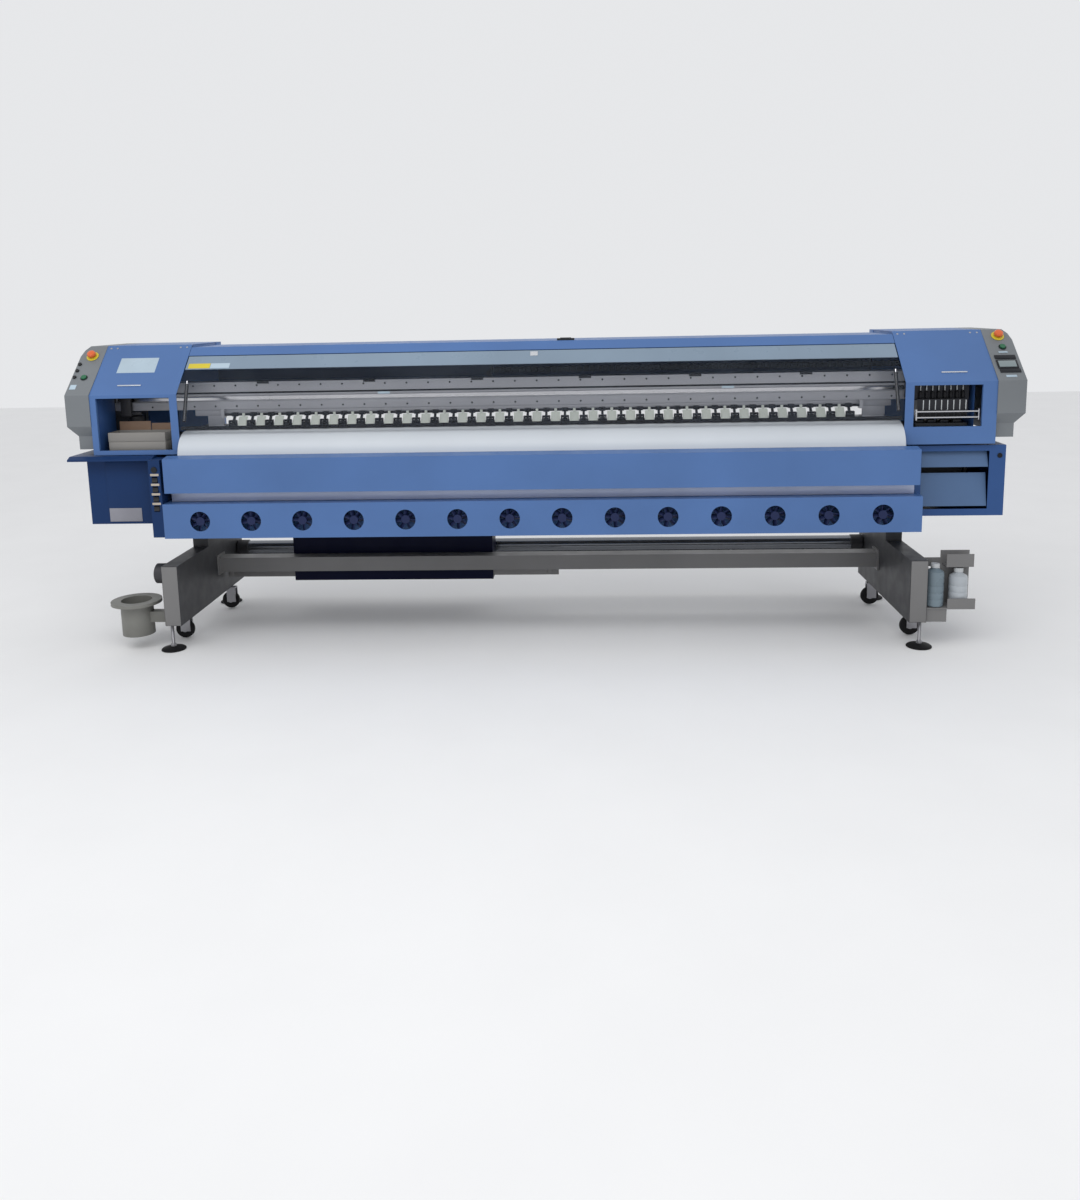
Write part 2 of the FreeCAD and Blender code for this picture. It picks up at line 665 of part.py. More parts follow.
def tilted(name, x, share, lift, radius, length):
    # a cylinder square to the sloping face, starting at a height above it
    shape = doc.addObject("Part::Cylinder", name)
    shape.setExpression("Radius", linked(radius))
    shape.setExpression("Height", linked(length))
    shape.Placement = FreeCAD.Placement(FreeCAD.Vector(), FreeCAD.Rotation(FreeCAD.Vector(1, 0, 0), 42))
    shape.setExpression("Placement.Rotation.Angle", linked(SLOPE_TURN))
    back = "shoulder_back - 3 + %s * %s - (%s) * %s / %s" % (share, slope_run, lift, slope_rise, slope_size)
    height = "shoulder_height + 1 + %s * %s + (%s) * %s / %s" % (share, slope_rise, lift, slope_run,
                                                                 slope_size)
    return place(shape, x, back, height)


for side, sign in SIDES:
    end_cap(side, sign)
    head = tilted(side + "_stop_head", stop_x(sign), stop_place(sign), "stop_travel + 4", "stop_radius", "18")
    shank = tilted(side + "_stop_shank", stop_x(sign), stop_place(sign), "-12", "8", "stop_travel + 20")
    finished(side + "_stop", fused(side + "_stop_body", [head, shank]))
    finished(side + "_start", tilted(side + "_start_body", start_x(sign), start_place(sign), "-12",
                                     "start_radius",
                                     "start_travel + 17"))
keys = [tilted("left_key_%d" % index, key_x(), share, "-12", "key_radius", "start_travel + 15")
        for index, share in enumerate(KEY_PLACES)]
finished("left_keys", together("left_keys_body", keys))

# top cover, rear cover and lid lie between the hoods, in the same bent outline
seam_share = "(lid_hinge_back - shoulder_back) / %s" % slope_run
seam_height = "shoulder_height + (%s) * %s" % (seam_share, slope_rise)
centre_start = "-bed_length / 2 + side_gap"
centre_length = "bed_length - 2 * side_gap"
top_drop = "13"
cover_top = "total_height - %s" % top_drop
cover_corner = "slope_back - %s * %s / %s" % (top_drop, slope_run, slope_rise)
cover_rear = "shoulder_back + body_depth - 60"
cover_outer = [("lid_hinge_back + 4", seam_height + " + 4 * %s / %s" % (slope_rise, slope_run)),
               (cover_corner, cover_top), (cover_rear, cover_top), (cover_rear, "total_height - 60"),
               (cover_rear + " - sheet_wall", "total_height - 60"),
               (cover_rear + " - sheet_wall", cover_top + " - sheet_wall"),
               (cover_corner + " + 1.2", cover_top + " - sheet_wall"),
               ("lid_hinge_back + 4 + 2", seam_height + " + 4 * %s / %s - 2.4" % (slope_rise, slope_run))]
finished("top_cover", side_profile("top_cover_body", centre_start, cover_outer, centre_length))
finished("rear_cover", block("rear_cover_body", centre_start, cover_rear + " - 2 * sheet_wall",
                             "bed_top + 60", centre_length, "sheet_wall", "total_height - 30 - bed_top - 60"))

rail_end = "lid_hinge_back - rail_width * %s / %s" % (slope_run, slope_size)
rail_low = "%s - rail_width * %s / %s" % (seam_height, slope_rise, slope_size)
rail_inward = " + sheet_wall * %s / %s" % (slope_rise, slope_size)
rail_downward = " - sheet_wall * %s / %s" % (slope_run, slope_size)
rail_points = [("lid_hinge_back", seam_height), (rail_end, rail_low),
               (rail_end + rail_inward, rail_low + rail_downward),
               ("lid_hinge_back" + rail_inward, seam_height + rail_downward)]
rail_sheet = side_profile("lid_rail_sheet", centre_start + " + lid_gap", rail_points,
                          centre_length + " - 2 * lid_gap")
hinge_pin = rod("lid_hinge_barrel", centre_start + " + lid_gap", "lid_hinge_back", seam_height + " - 5", "4",
                centre_length + " - 2 * lid_gap", "x")
finished("lid_rail", fused("lid_rail_body", [rail_sheet, hinge_pin]))
knee = "shoulder_height - window_thick * (%s - %s) / %s" % (slope_size, slope_rise, slope_run)
window_points = [(rail_end, rail_low), ("shoulder_back", "shoulder_height"), ("shoulder_back", "lid_bottom"),
                 ("shoulder_back + window_thick", "lid_bottom"), ("shoulder_back + window_thick", knee),
                 (rail_end + " + window_thick * %s / %s" % (slope_rise, slope_size),
                  rail_low + " - window_thick * %s / %s" % (slope_run, slope_size))]
finished("lid_window", side_profile("lid_window_body", centre_start + " + lid_gap", window_points,
                                    centre_length + " - 2 * lid_gap"))

# ---------------------------------------------------------------- gas struts
strut_length = "sqrt(strut_lean * strut_lean + strut_rise * strut_rise)"


def leaning(name, x, along, radius, length):
    # a cylinder on the line from the strut's foot to its head, starting a distance along it
    shape = doc.addObject("Part::Cylinder", name)
    shape.setExpression("Radius", linked(radius))
    shape.setExpression("Height", linked(length))
    shape.Placement = FreeCAD.Placement(FreeCAD.Vector(), FreeCAD.Rotation(FreeCAD.Vector(1, 0, 0), -20))
    shape.setExpression("Placement.Rotation.Angle", linked("360 deg - atan(strut_lean / strut_rise)"))
    back = "strut_back + %s * strut_lean / %s" % (along, strut_length)
    return place(shape, x, back, "strut_base + %s * strut_rise / %s" % (along, strut_length))


for side, sign in SIDES:
    across = "%d * strut_x" % sign
    tube_body = leaning(side + "_strut_cylinder", across, "0", "strut_tube", strut_length + " - 14")
    tube_bore = leaning(side + "_strut_bore", across, "6", "strut_rod + running_fit", strut_length)
    finished(side + "_strut_tube", cut(side + "_strut_tube_body", tube_body, [tube_bore]))
    finished(side + "_strut_rod", leaning(side + "_strut_rod_body", across, "8", "strut_rod",
                                          strut_length + " - 8"))

# ---------------------------------------------------------------- lower cabinets
shelf_top = "body_bottom - 2"


def box_shell(name, x, back, z, length, depth, height):
    outer = block(name + "_outer", x, back, z, length, depth, height)
    inner = block(name + "_inner", "(%s) + sheet_wall" % x, "(%s) + sheet_wall" % back,
                  "(%s) + sheet_wall" % z,
                  "(%s) - 2 * sheet_wall" % length, "(%s) - 2 * sheet_wall" % depth,
                  "(%s) - 2 * sheet_wall" % height)
    return cut(name, outer, [inner])


cabinet_height = "%s - 22 - cabinet_bottom" % shelf_top
cabinet_length = "cabinet_half - cabinet_inner"
left_box = box_shell("left_cabinet_shell", "-cabinet_half", "shoulder_back + 20", "cabinet_bottom",
                     cabinet_length,
                     "cabinet_depth", cabinet_height)
shelf = [("shoulder_back - 45", shelf_top + " - 20"), ("shoulder_back + cabinet_depth", shelf_top + " - 20"),
         ("shoulder_back + cabinet_depth", shelf_top), ("shoulder_back - 20", shelf_top),
         ("shoulder_back - 45", shelf_top + " - 12")]
left_shelf = side_profile("left_shelf", "-total_length / 2 + 6", shelf,
                          "total_length / 2 - 6 - fan_box_length / 2 - switch_width - 3")
leg_slot_left = block("left_cabinet_slot", "-leg_gap / 2 - leg_width - 3", "column_back - 5",
                      "cabinet_bottom - 5",
                      "leg_width + 6", "column_depth + 10", "400")
beam_slot_left = block("left_cabinet_beam_slot", left_plate + " - 2", "frame_back - 22", "frame_bottom - 2",
                       "600", "frame_depth + 240", "400")
finished("left_cabinet", cut("left_cabinet_body", fused("left_cabinet_whole", [left_box, left_shelf]),
                             [leg_slot_left, beam_slot_left]))

right_box = box_shell("right_cabinet_shell", "cabinet_inner", "shoulder_back + 20", "cabinet_bottom",
                      cabinet_length,
                      "cabinet_depth", cabinet_height + " + 15")
ink_opening = block("ink_bay_opening", "cabinet_inner + 36", "shoulder_back", "cabinet_bottom + 30",
                    cabinet_length + " - 106", "40",
                    cabinet_height + " - 40")
beam_slot_right = block("right_cabinet_beam_slot", "cabinet_inner - 50", "frame_back - 22",
                        "frame_bottom - 2",
                        "%s + 64 - cabinet_inner" % right_plate, "frame_depth + 240", "400")
leg_slot_right = block("right_cabinet_leg_slot", "cabinet_inner - 5", "column_back - 5", "cabinet_bottom - 5",
                       "leg_gap / 2 + leg_width + 8 - cabinet_inner", "column_depth + 10", "400")
finished("right_cabinet", cut("right_cabinet_body", right_box, [ink_opening, beam_slot_right,
                                                                leg_slot_right]))

bay_start = "cabinet_inner + 38"
bay_length = "%s - 110" % cabinet_length
upper_tray = [("shoulder_back + 24", "cabinet_bottom + 216"), ("shoulder_back + 28", "cabinet_bottom + 216"),
              ("shoulder_back + 50", "cabinet_bottom + 285"), ("shoulder_back + 46", "cabinet_bottom + 285")]
lower_tray = [("shoulder_back + 24", "cabinet_bottom + 42"), ("shoulder_back + 28", "cabinet_bottom + 42"),
              ("shoulder_back + 56", "cabinet_bottom + 186"), ("shoulder_back + 52", "cabinet_bottom + 186")]
finished("ink_bay_panels", together("ink_bay_panels_body", [
    side_profile("ink_bay_upper", bay_start, upper_tray, bay_length),
    side_profile("ink_bay_lower", bay_start, lower_tray, bay_length)]))

# ---------------------------------------------------------------- drying unit
channel = block("fan_box_outer", "-fan_box_length / 2", "0", "fan_box_bottom", "fan_box_length",
                "fan_box_depth",
                "fan_box_height")
channel_hollow = block("fan_box_inner", "-fan_box_length / 2 + sheet_wall", "sheet_wall",
                       "fan_box_bottom + sheet_wall", "fan_box_length - 2 * sheet_wall",
                       "fan_box_depth - 2 * sheet_wall", "fan_box_height - 2 * sheet_wall")
fan_total = int(number("fan_count"))
fan_holes = []
fans = []
for index in range(fan_total):
    middle = "(%d - (fan_count - 1) / 2) * fan_pitch" % index
    fan_holes.append(rod("fan_hole_%02d" % index, middle, "-1", "fan_height", "fan_hole / 2",
                         "sheet_wall + 2", "y"))
    fan_holes.append(block("fan_inlet_%02d" % index, middle + " - inlet_length / 2",
                           "fan_box_depth - inlet_depth - 15", "fan_box_bottom - 1", "inlet_length",
                           "inlet_depth", "sheet_wall + 2"))
    frame = block("fan_frame_%02d" % index, middle + " - fan_frame / 2", "sheet_wall + 0.5",
                  "fan_height - fan_frame / 2", "fan_frame", "fan_thick", "fan_frame")
    throat = rod("fan_throat_%02d" % index, middle, "sheet_wall - 1", "fan_height", "fan_frame / 2 - 5",
                 "fan_thick + 4", "y")
    hub = rod("fan_hub_%02d" % index, middle, "sheet_wall + 0.5", "fan_height", "19", "fan_thick", "y")
    strut = block("fan_strut_%02d" % index, middle + " - fan_frame / 2 + 2", "sheet_wall + fan_thick - 4",
                  "fan_height - 4", "fan_frame - 4", "4.5", "8")
    fans.append(fused("fan_%02d" % index, [cut("fan_ring_%02d" % index, frame, [throat]), hub, strut]))
finished("fan_box", cut("fan_box_body", channel, [channel_hollow] + fan_holes))
finished("dryer_fans", together("dryer_fans_body", fans))

panel_outline = [("0", "panel_bottom"), ("sheet_wall", "panel_bottom"),
                 ("sheet_wall", "panel_top - sheet_wall"), ("panel_reach", "panel_top + 8 - sheet_wall"),
                 ("panel_reach", "panel_top + 8"), ("0", "panel_top")]
dryer_front = side_profile("dryer_panel_front", "-panel_length / 2", panel_outline, "panel_length")
panel_hangers = [block("dryer_panel_hanger_%d" % index, x, "1", "panel_bottom", "30", "fan_box_depth - 1",
                       "4")
                 for index, x in enumerate(rib_places)]
panel_hangers.append(block("dryer_panel_return", "-panel_length / 2", "1", "panel_bottom", "panel_length",
                           "40", "3"))
finished("dryer_panel", fused("dryer_panel_body", [dryer_front] + panel_hangers))

# ---------------------------------------------------------------- switch plate and rockers
plate_right = "-fan_box_length / 2 - side_gap"
switch_box = block("switch_box", plate_right + " - switch_width", "5", "fan_box_bottom + 5", "switch_width",
                   "fan_box_depth - 5",
                   "panel_top - fan_box_bottom - 10")
switch_hollow = block("switch_hollow", plate_right + " - switch_width + 3", "8", "fan_box_bottom + 8",
                      "switch_width - 6", "fan_box_depth",
                      "panel_top - fan_box_bottom - 16")
rocker_left = plate_right + " - switch_width / 2 - rocker_width / 2"
slots = []
rocker_total = int(number("rocker_count"))
for index in range(rocker_total):
    low = "rocker_top - %d * rocker_pitch - rocker_height / 2" % index
    slots.append(block("rocker_slot_%d" % index, rocker_left + " - side_gap", "0", low + " - side_gap",
                       "rocker_width + 2 * side_gap", "12", "rocker_height + 2 * side_gap"))
    name = "rocker_%d" % (index + 1)
    key = [("2", low + " + rocker_height - 4"), ("4", low + " + rocker_height / 2"), ("0", low + " + 3"),
           ("12", low + " + 5"), ("16", low + " + rocker_height / 2"), ("12", low + " + rocker_height - 5")]
    finished(name, side_profile(name + "_body", rocker_left, key, "rocker_width"))
finished("switch_plate", cut("switch_plate_body", switch_box, [switch_hollow] + slots))

# ---------------------------------------------------------------- electrical box
box_back = "beam_back + beam_depth"
finished("electrical_box", box_shell("electrical_box_body", "box_centre - box_length / 2", box_back,
                                     "box_bottom",
                                     "box_length", "box_depth", "box_height"))

# ---------------------------------------------------------------- media shafts
for shaft in ("feed", "take"):
    back = shaft + "_shaft_back"
    height = shaft + "_shaft_height"
    core = rod(shaft + "_core", "-leg_gap / 2 + 2", back, height, "shaft_radius", "leg_gap - 4", "x")
    pin = rod(shaft + "_pin", "-leg_gap / 2 - leg_wall", back, height, "journal_radius",
              "leg_gap + 2 * leg_wall", "x")
    pieces = [core, pin]
    if shaft == "feed":
        skin = rod("feed_roller_skin", "-roller_length / 2", back, height, "roller_radius", "roller_length",
                   "x")
        inside = rod("feed_roller_inside", "-roller_length / 2 + 10", back, height,
                     "roller_radius - roller_wall", "roller_length - 20", "x")
        pieces.append(cut("feed_roller", skin, [inside]))
    finished({"feed": "feed_shaft", "take": "take_up_shaft"}[shaft],
             fused(shaft + "_shaft_body", pieces))

# ---------------------------------------------------------------- waste bucket
leg_outer = "leg_gap / 2 + leg_width"
pail = rod("bucket_outer", "bucket_x", "bucket_back", "bucket_bottom", "bucket_radius", "bucket_height")
rim = rod("bucket_rim_disc", "bucket_x", "bucket_back", "bucket_bottom + bucket_height - 14", "bucket_rim",
          "14")
pail_hollow = rod("bucket_inner", "bucket_x", "bucket_back", "bucket_bottom + 4", "bucket_radius - 4",
                  "bucket_height")
arm = block("bucket_arm", "bucket_x + bucket_radius - 8", "bucket_back - 22", "leg_bottom + 4",
            "-(%s) - bucket_x - bucket_radius + 8" % leg_outer, "44", "50")
finished("waste_bucket", cut("waste_bucket_body", fused("bucket_whole", [pail, rim, arm]), [pail_hollow]))

# ---------------------------------------------------------------- bottle rack and bottles
rack_start = leg_outer
rack_parts = [
    block("rack_foot", rack_start, "leg_back + 10", "leg_bottom", "90", "70", "62"),
    block("rack_tray", rack_start, "leg_back + 5", "leg_bottom + 58", "210", "100", "6"),
    block("rack_lip", rack_start + " + 90", "leg_back + 5", "leg_bottom + 58", "120", "4", "48"),
    block("rack_back", rack_start + " + 84", "leg_back + 97", "leg_bottom + 58", "126", "4", "245"),
    block("rack_top", rack_start + " + 92", "leg_back + 40", "leg_bottom + 240", "118", "61", "4"),
    block("rack_face", rack_start + " + 92", "leg_back + 40", "leg_bottom + 240", "118", "4", "58"),
    block("rack_bar", rack_start, "leg_back + 97", "leg_bottom + 230", "90", "4", "40"),
]
finished("bottle_rack", fused("bottle_rack_body", rack_parts))


def bottle(name, x, back, z, height):
    barrel = rod(name + "_barrel", x, back, z, "bottle_radius", "%s - 26" % height)
    neck = rod(name + "_neck", x, back, "%s + %s - 27" % (z, height), "bottle_radius / 2", "27")
    return fused(name, [barrel, neck])


tray_top = "leg_bottom + 64.3"
finished("ink_bottles", together("ink_bottles_body", [
    bottle("ink_bottle_inner", rack_start + " + 45", "leg_back + 48", tray_top, "bottle_height + 22"),
    bottle("ink_bottle_outer", rack_start + " + 150", "leg_back + 55", tray_top, "bottle_height")]))

# ---------------------------------------------------------------- checks and output
doc.recompute()
for item in doc.Objects:
    for state in ("Invalid", "Error"):
        if state in item.State:
            raise RuntimeError("%s is %s" % (item.Label, state))
os.makedirs("parts", exist_ok=True)
for shape in made:
    if shape.Shape.isNull() or not shape.Shape.isValid() or not shape.Shape.Solids:
        raise RuntimeError("%s has no valid solid" % shape.Label)
    shape.Shape.exportStep("parts/%s.step" % shape.Label)
print(len(made), "nodes written")
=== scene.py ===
import math

import bmesh
import bpy
from mathutils import Matrix, Vector


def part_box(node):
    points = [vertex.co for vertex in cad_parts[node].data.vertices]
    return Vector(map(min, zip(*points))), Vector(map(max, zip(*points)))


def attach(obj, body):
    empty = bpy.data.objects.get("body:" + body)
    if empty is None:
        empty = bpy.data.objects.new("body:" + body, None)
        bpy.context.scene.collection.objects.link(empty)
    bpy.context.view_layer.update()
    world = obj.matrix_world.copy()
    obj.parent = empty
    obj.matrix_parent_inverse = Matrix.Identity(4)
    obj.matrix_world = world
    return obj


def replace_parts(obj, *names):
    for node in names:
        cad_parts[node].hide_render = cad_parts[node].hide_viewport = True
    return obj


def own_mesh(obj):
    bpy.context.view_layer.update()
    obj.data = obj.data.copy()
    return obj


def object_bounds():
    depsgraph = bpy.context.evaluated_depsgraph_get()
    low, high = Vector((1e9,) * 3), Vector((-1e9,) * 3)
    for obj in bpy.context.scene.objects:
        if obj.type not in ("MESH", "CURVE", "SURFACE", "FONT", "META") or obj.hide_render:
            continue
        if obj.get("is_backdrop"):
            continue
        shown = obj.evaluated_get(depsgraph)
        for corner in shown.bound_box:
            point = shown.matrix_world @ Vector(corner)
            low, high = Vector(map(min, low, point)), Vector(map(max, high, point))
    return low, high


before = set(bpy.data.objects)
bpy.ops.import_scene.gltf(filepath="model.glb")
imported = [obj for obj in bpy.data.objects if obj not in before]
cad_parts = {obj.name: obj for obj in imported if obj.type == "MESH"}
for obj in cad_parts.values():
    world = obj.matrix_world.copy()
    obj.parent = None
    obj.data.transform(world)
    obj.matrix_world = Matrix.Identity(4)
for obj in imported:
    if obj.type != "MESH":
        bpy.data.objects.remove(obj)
cad_low, cad_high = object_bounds()

# ---------------------------------------------------------------- legs, crossbeam and welded frame
# Legs, crossbeam and main frame are welded steel tube with a dark powder coat, on the legs partly painted
# shade of their unlit sides. A light grey plate over each leg's front face is a painted highlight of the
# lit front, and hexagon bolts hold the crossbeam's end plates.
FRONT = cad_low.y
BED_HALF = 1.6


def tint(colour, share):
    return tuple(min(1.0, channel * share) for channel in colour) + (1.0,)


def pattern(tree, scale, detail=2.0, distortion=0.0):
    # noise in the machine's own metres, so that its grain has a real size on every piece
    place = tree.nodes.new("ShaderNodeTexCoord")
    noise = tree.nodes.new("ShaderNodeTexNoise")
    noise.inputs["Scale"].default_value = scale
    noise.inputs["Detail"].default_value = detail
    noise.inputs["Distortion"].default_value = distortion
    tree.links.new(place.outputs["Object"], noise.inputs["Vector"])
    return noise.outputs["Fac"]


def spread(tree, factor, low, high):
    node = tree.nodes.new("ShaderNodeMapRange")
    node.inputs["From Min"].default_value = 0.3
    node.inputs["From Max"].default_value = 0.7
    node.inputs["To Min"].default_value = low
    node.inputs["To Max"].default_value = high
    tree.links.new(factor, node.inputs["Value"])
    return node.outputs["Result"]


def coating(name, colour, roughness, metallic=0.0, grain=700, depth=0.12, mottle=0.08, coat=0.0,
            sheen=0.35):
    # a finish with a slow drift of colour, uneven gloss and a fine surface grain
    material = bpy.data.materials.new(name)
    material.use_nodes = True
    tree = material.node_tree
    shader = tree.nodes["Principled BSDF"]
    shader.inputs["Metallic"].default_value = metallic
    shader.inputs["Coat Weight"].default_value = coat
    shader.inputs["Specular IOR Level"].default_value = sheen
    ramp = tree.nodes.new("ShaderNodeValToRGB")
    ramp.color_ramp.elements[0].position = 0.3
    ramp.color_ramp.elements[0].color = tint(colour, 1 - mottle)
    ramp.color_ramp.elements[1].position = 0.7
    ramp.color_ramp.elements[1].color = tint(colour, 1 + mottle)
    tree.links.new(pattern(tree, 2.3, 4.0), ramp.inputs["Fac"])
    tree.links.new(ramp.outputs["Color"], shader.inputs["Base Color"])
    gloss = spread(tree, pattern(tree, 14.0, 3.0), roughness - 0.06, roughness + 0.06)
    tree.links.new(gloss, shader.inputs["Roughness"])
    bump = tree.nodes.new("ShaderNodeBump")
    bump.inputs["Strength"].default_value = depth
    bump.inputs["Distance"].default_value = 0.0004
    tree.links.new(pattern(tree, grain), bump.inputs["Height"])
    tree.links.new(bump.outputs["Normal"], shader.inputs["Normal"])
    return material


def dress(material, *nodes):
    # give CAD nodes a finish
    for node in nodes:
        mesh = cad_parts[node].data
        mesh.materials.clear()
        mesh.materials.append(material)


def slab(mesh, low, high, bevel=0.0012):
    # a block with eased edges between two opposite corners
    low, high = Vector(low), Vector(high)
    made = bmesh.ops.create_cube(mesh, size=1.0)["verts"]
    size = high - low
    for vertex in made:
        vertex.co = low + Vector(size[i] * (vertex.co[i] + 0.5) for i in range(3))
    edges = list({edge for vertex in made for edge in vertex.link_edges})
    eased = bmesh.ops.bevel(mesh, geom=edges, offset=min(bevel, min(size) * 0.3), segments=2,
                            affect="EDGES", profile=0.5)
    return list({vertex for face in eased["faces"] for vertex in face.verts})


AXES = {"X": Matrix.Rotation(math.pi / 2, 4, "Y"), "Y": Matrix.Rotation(-math.pi / 2, 4, "X"),
        "Z": Matrix.Identity(4)}


def turned(mesh, outline, place, axis="Z", steps=32):
    # a turned shape: outline is (radius, distance along the axis) from one end to the other
    move = Matrix.Translation(Vector(place)) @ AXES[axis]
    rings = []
    for radius, along in outline:
        ring = []
        for step in range(steps):
            angle = 2 * math.pi * step / steps
            spot = Vector((radius * math.cos(angle), radius * math.sin(angle), along))
            ring.append(mesh.verts.new(move @ spot))
        rings.append(ring)
    for lower, upper in zip(rings, rings[1:]):
        for step in range(steps):
            following = (step + 1) % steps
            mesh.faces.new((lower[step], lower[following], upper[following], upper[step]))
    mesh.faces.new(rings[0][::-1])
    mesh.faces.new(rings[-1])
    return [vertex for ring in rings for vertex in ring]


def backwards(outline):
    # the same turned shape, growing the other way along its axis
    return [(radius, -along) for radius, along in outline]


def piece(name, mesh, material, body="machine"):
    # close a mesh off as one named piece that rides on a CAD body
    bmesh.ops.recalc_face_normals(mesh, faces=mesh.faces)
    data = bpy.data.meshes.new(name)
    mesh.to_mesh(data)
    mesh.free()
    data.materials.append(material)
    for face in data.polygons:
        face.use_smooth = True
    data.set_sharp_from_angle(angle=math.radians(32))
    made = bpy.data.objects.new(name, data)
    bpy.context.scene.collection.objects.link(made)
    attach(made, body)
    return made


dark_grey = coating("dark_grey_coat", (0.040, 0.041, 0.045), 0.45)
mid_grey = coating("mid_grey_coat", (0.180, 0.178, 0.178), 0.45)
black_plastic = coating("black_plastic", (0.009, 0.009, 0.011), 0.42, grain=1000, depth=0.2, sheen=0.2)
screw_steel = coating("plated_screw_steel", (0.50, 0.50, 0.52), 0.3, metallic=1.0, grain=1500, mottle=0.05)
dress(dark_grey, "left_leg", "right_leg", "main_frame")
dress(mid_grey, "crossbeam", "bottle_rack")
BOLT = ((0.0075, 0.0), (0.0075, 0.005), (0.0060, 0.0062), (0.0010, 0.0064))
lit_front_plates = bmesh.new()
bolts = bmesh.new()
for side, sign in (("left", -1), ("right", 1)):
    low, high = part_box(side + "_leg")
    # light grey plate over the whole front face of the leg, a painted highlight of the lit front
    slab(lit_front_plates, (low.x + 0.002, low.y - 0.0025, low.z + 0.002), (high.x - 0.002, low.y, 0.398), 0.001)
    for y in (0.555, 0.605):
        for height in (0.262, 0.296):
            turned(bolts, [(radius, -sign * along) for radius, along in BOLT],
                   (sign * 1.627, FRONT + y, height), "X", steps=6)
piece("leg_front_lit_plates", lit_front_plates, mid_grey)
piece("crossbeam_bolts", bolts, screw_steel)
lower_bar = bmesh.new()
slab(lower_bar, (-1.620, FRONT + 0.628, 0.193), (0.075, FRONT + 0.640, 0.218))
for x in (-1.60, -0.90, 0.03):
    slab(lower_bar, (x - 0.010, FRONT + 0.6205, 0.200), (x + 0.010, FRONT + 0.628, 0.262))
piece("lower_bar", lower_bar, mid_grey)

# ---------------------------------------------------------------- casters and levelling feet
# Zinc-plated forks with black rubber tyres on turned hubs, and rubber-soled feet on threaded stems.
rubber = coating("black_rubber", (0.009, 0.009, 0.010), 0.6, grain=1300, depth=0.3, sheen=0.15)
zinc = coating("zinc_plate", (0.36, 0.36, 0.38), 0.34, metallic=0.85, grain=900)
dress(zinc, *[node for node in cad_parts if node.endswith("_fork")])
dress(rubber, *[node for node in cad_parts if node.endswith("_caster_wheel")])
TYRE = ((0.020, -0.0130), (0.036, -0.0130), (0.0415, -0.0115), (0.0440, -0.0070), (0.0440, 0.0070),
        (0.0415, 0.0115), (0.036, 0.0130), (0.020, 0.0130))
HUB = ((0.0060, -0.0142), (0.0150, -0.0138), (0.0175, -0.0100), (0.0175, 0.0100), (0.0150, 0.0138),
       (0.0060, 0.0142))
AXLE = ((0.0055, -0.0182), (0.0060, -0.0178), (0.0060, 0.0178), (0.0055, 0.0182))
PAD_THICK, THREAD_PITCH = 0.016, 0.0030
FOOT_PAD = ((0.0530, 0.0), (0.0550, 0.0015), (0.0545, 0.0050), (0.0500, 0.0085), (0.0300, 0.0130),
            (0.0180, PAD_THICK), (0.0060, PAD_THICK))
LOCK_NUT = ((0.0120, PAD_THICK - 0.001), (0.0138, PAD_THICK + 0.001), (0.0138, PAD_THICK + 0.0105),
            (0.0120, PAD_THICK + 0.012))
for end in ("front", "rear"):
    for side in ("left", "right"):
        wheel = "%s_%s_caster_wheel" % (end, side)
        low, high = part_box(wheel)
        middle = (low + high) / 2
        tyre = bmesh.new()
        turned(tyre, TYRE, middle, "Y", steps=56)
        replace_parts(piece("%s_%s_tyre" % (end, side), tyre, rubber, wheel), wheel)
        hub = bmesh.new()
        turned(hub, HUB, middle, "Y")
        turned(hub, AXLE, middle, "Y", steps=20)
        piece("%s_%s_hub" % (end, side), hub, zinc, wheel)
        foot = "%s_%s_foot" % (end, side)
        low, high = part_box(foot)
        middle = ((low.x + high.x) / 2, (low.y + high.y) / 2, 0)
        pad = bmesh.new()
        turned(pad, FOOT_PAD, middle, steps=48)
        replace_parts(piece(foot + "_pad", pad, rubber, foot), foot)
        outline = [(0.0070, PAD_THICK - 0.002)]
        for turn in range(int((high.z - PAD_THICK) / THREAD_PITCH)):
            base = PAD_THICK + THREAD_PITCH * turn
            outline += [(0.0070, base), (0.0080, base + THREAD_PITCH / 2)]
        stem = bmesh.new()
        turned(stem, outline + [(0.0060, high.z)], middle, steps=20)
        turned(stem, LOCK_NUT, middle, steps=6)
        piece(foot + "_stem", stem, zinc, foot)

# ---------------------------------------------------------------- lower cabinets and their trays
# Blue sheet-steel cabinets hang under each end bay. The left has a plain door with a cam latch, and
# the right is open at the front over two sloping ink trays.
BLUE = (0.068, 0.150, 0.355)
blue_paint = coating("blue_powder_coat", BLUE, 0.40, grain=620, sheen=0.4)
# the left cabinet and its door take a deep blue that is partly painted shade, as they stand in shadow under
# the bay
deep_blue_and_shade = coating("deep_blue_and_shade_coat", (0.010, 0.034, 0.112), 0.40, grain=620, sheen=0.15)
cabinet_blue = coating("cabinet_blue_coat", (0.030, 0.080, 0.225), 0.40, grain=620, sheen=0.2)
tray_blue = coating("tray_blue_coat", (0.075, 0.140, 0.270), 0.38, grain=620)
plate_grey = coating("etched_plate", (0.30, 0.30, 0.34), 0.4, metallic=0.2, grain=150, mottle=0.25)
dress(deep_blue_and_shade, "left_cabinet")
dress(cabinet_blue, "right_cabinet")
dress(tray_blue, "ink_bay_panels")
door = bmesh.new()
slab(door, (-1.962, FRONT + 0.1165, 0.594), (-1.664, FRONT + 0.1198, 0.872), 0.0015)
piece("left_cabinet_door", door, deep_blue_and_shade)
name_plate = bmesh.new()
slab(name_plate, (-1.958, FRONT + 0.1150, 0.596), (-1.808, FRONT + 0.1163, 0.658), 0.0004)
piece("left_cabinet_plate", name_plate, plate_grey)
CAM_LATCH = ((0.010, 0.0), (0.011, -0.002), (0.009, -0.004), (0.004, -0.0045))
latch = bmesh.new()
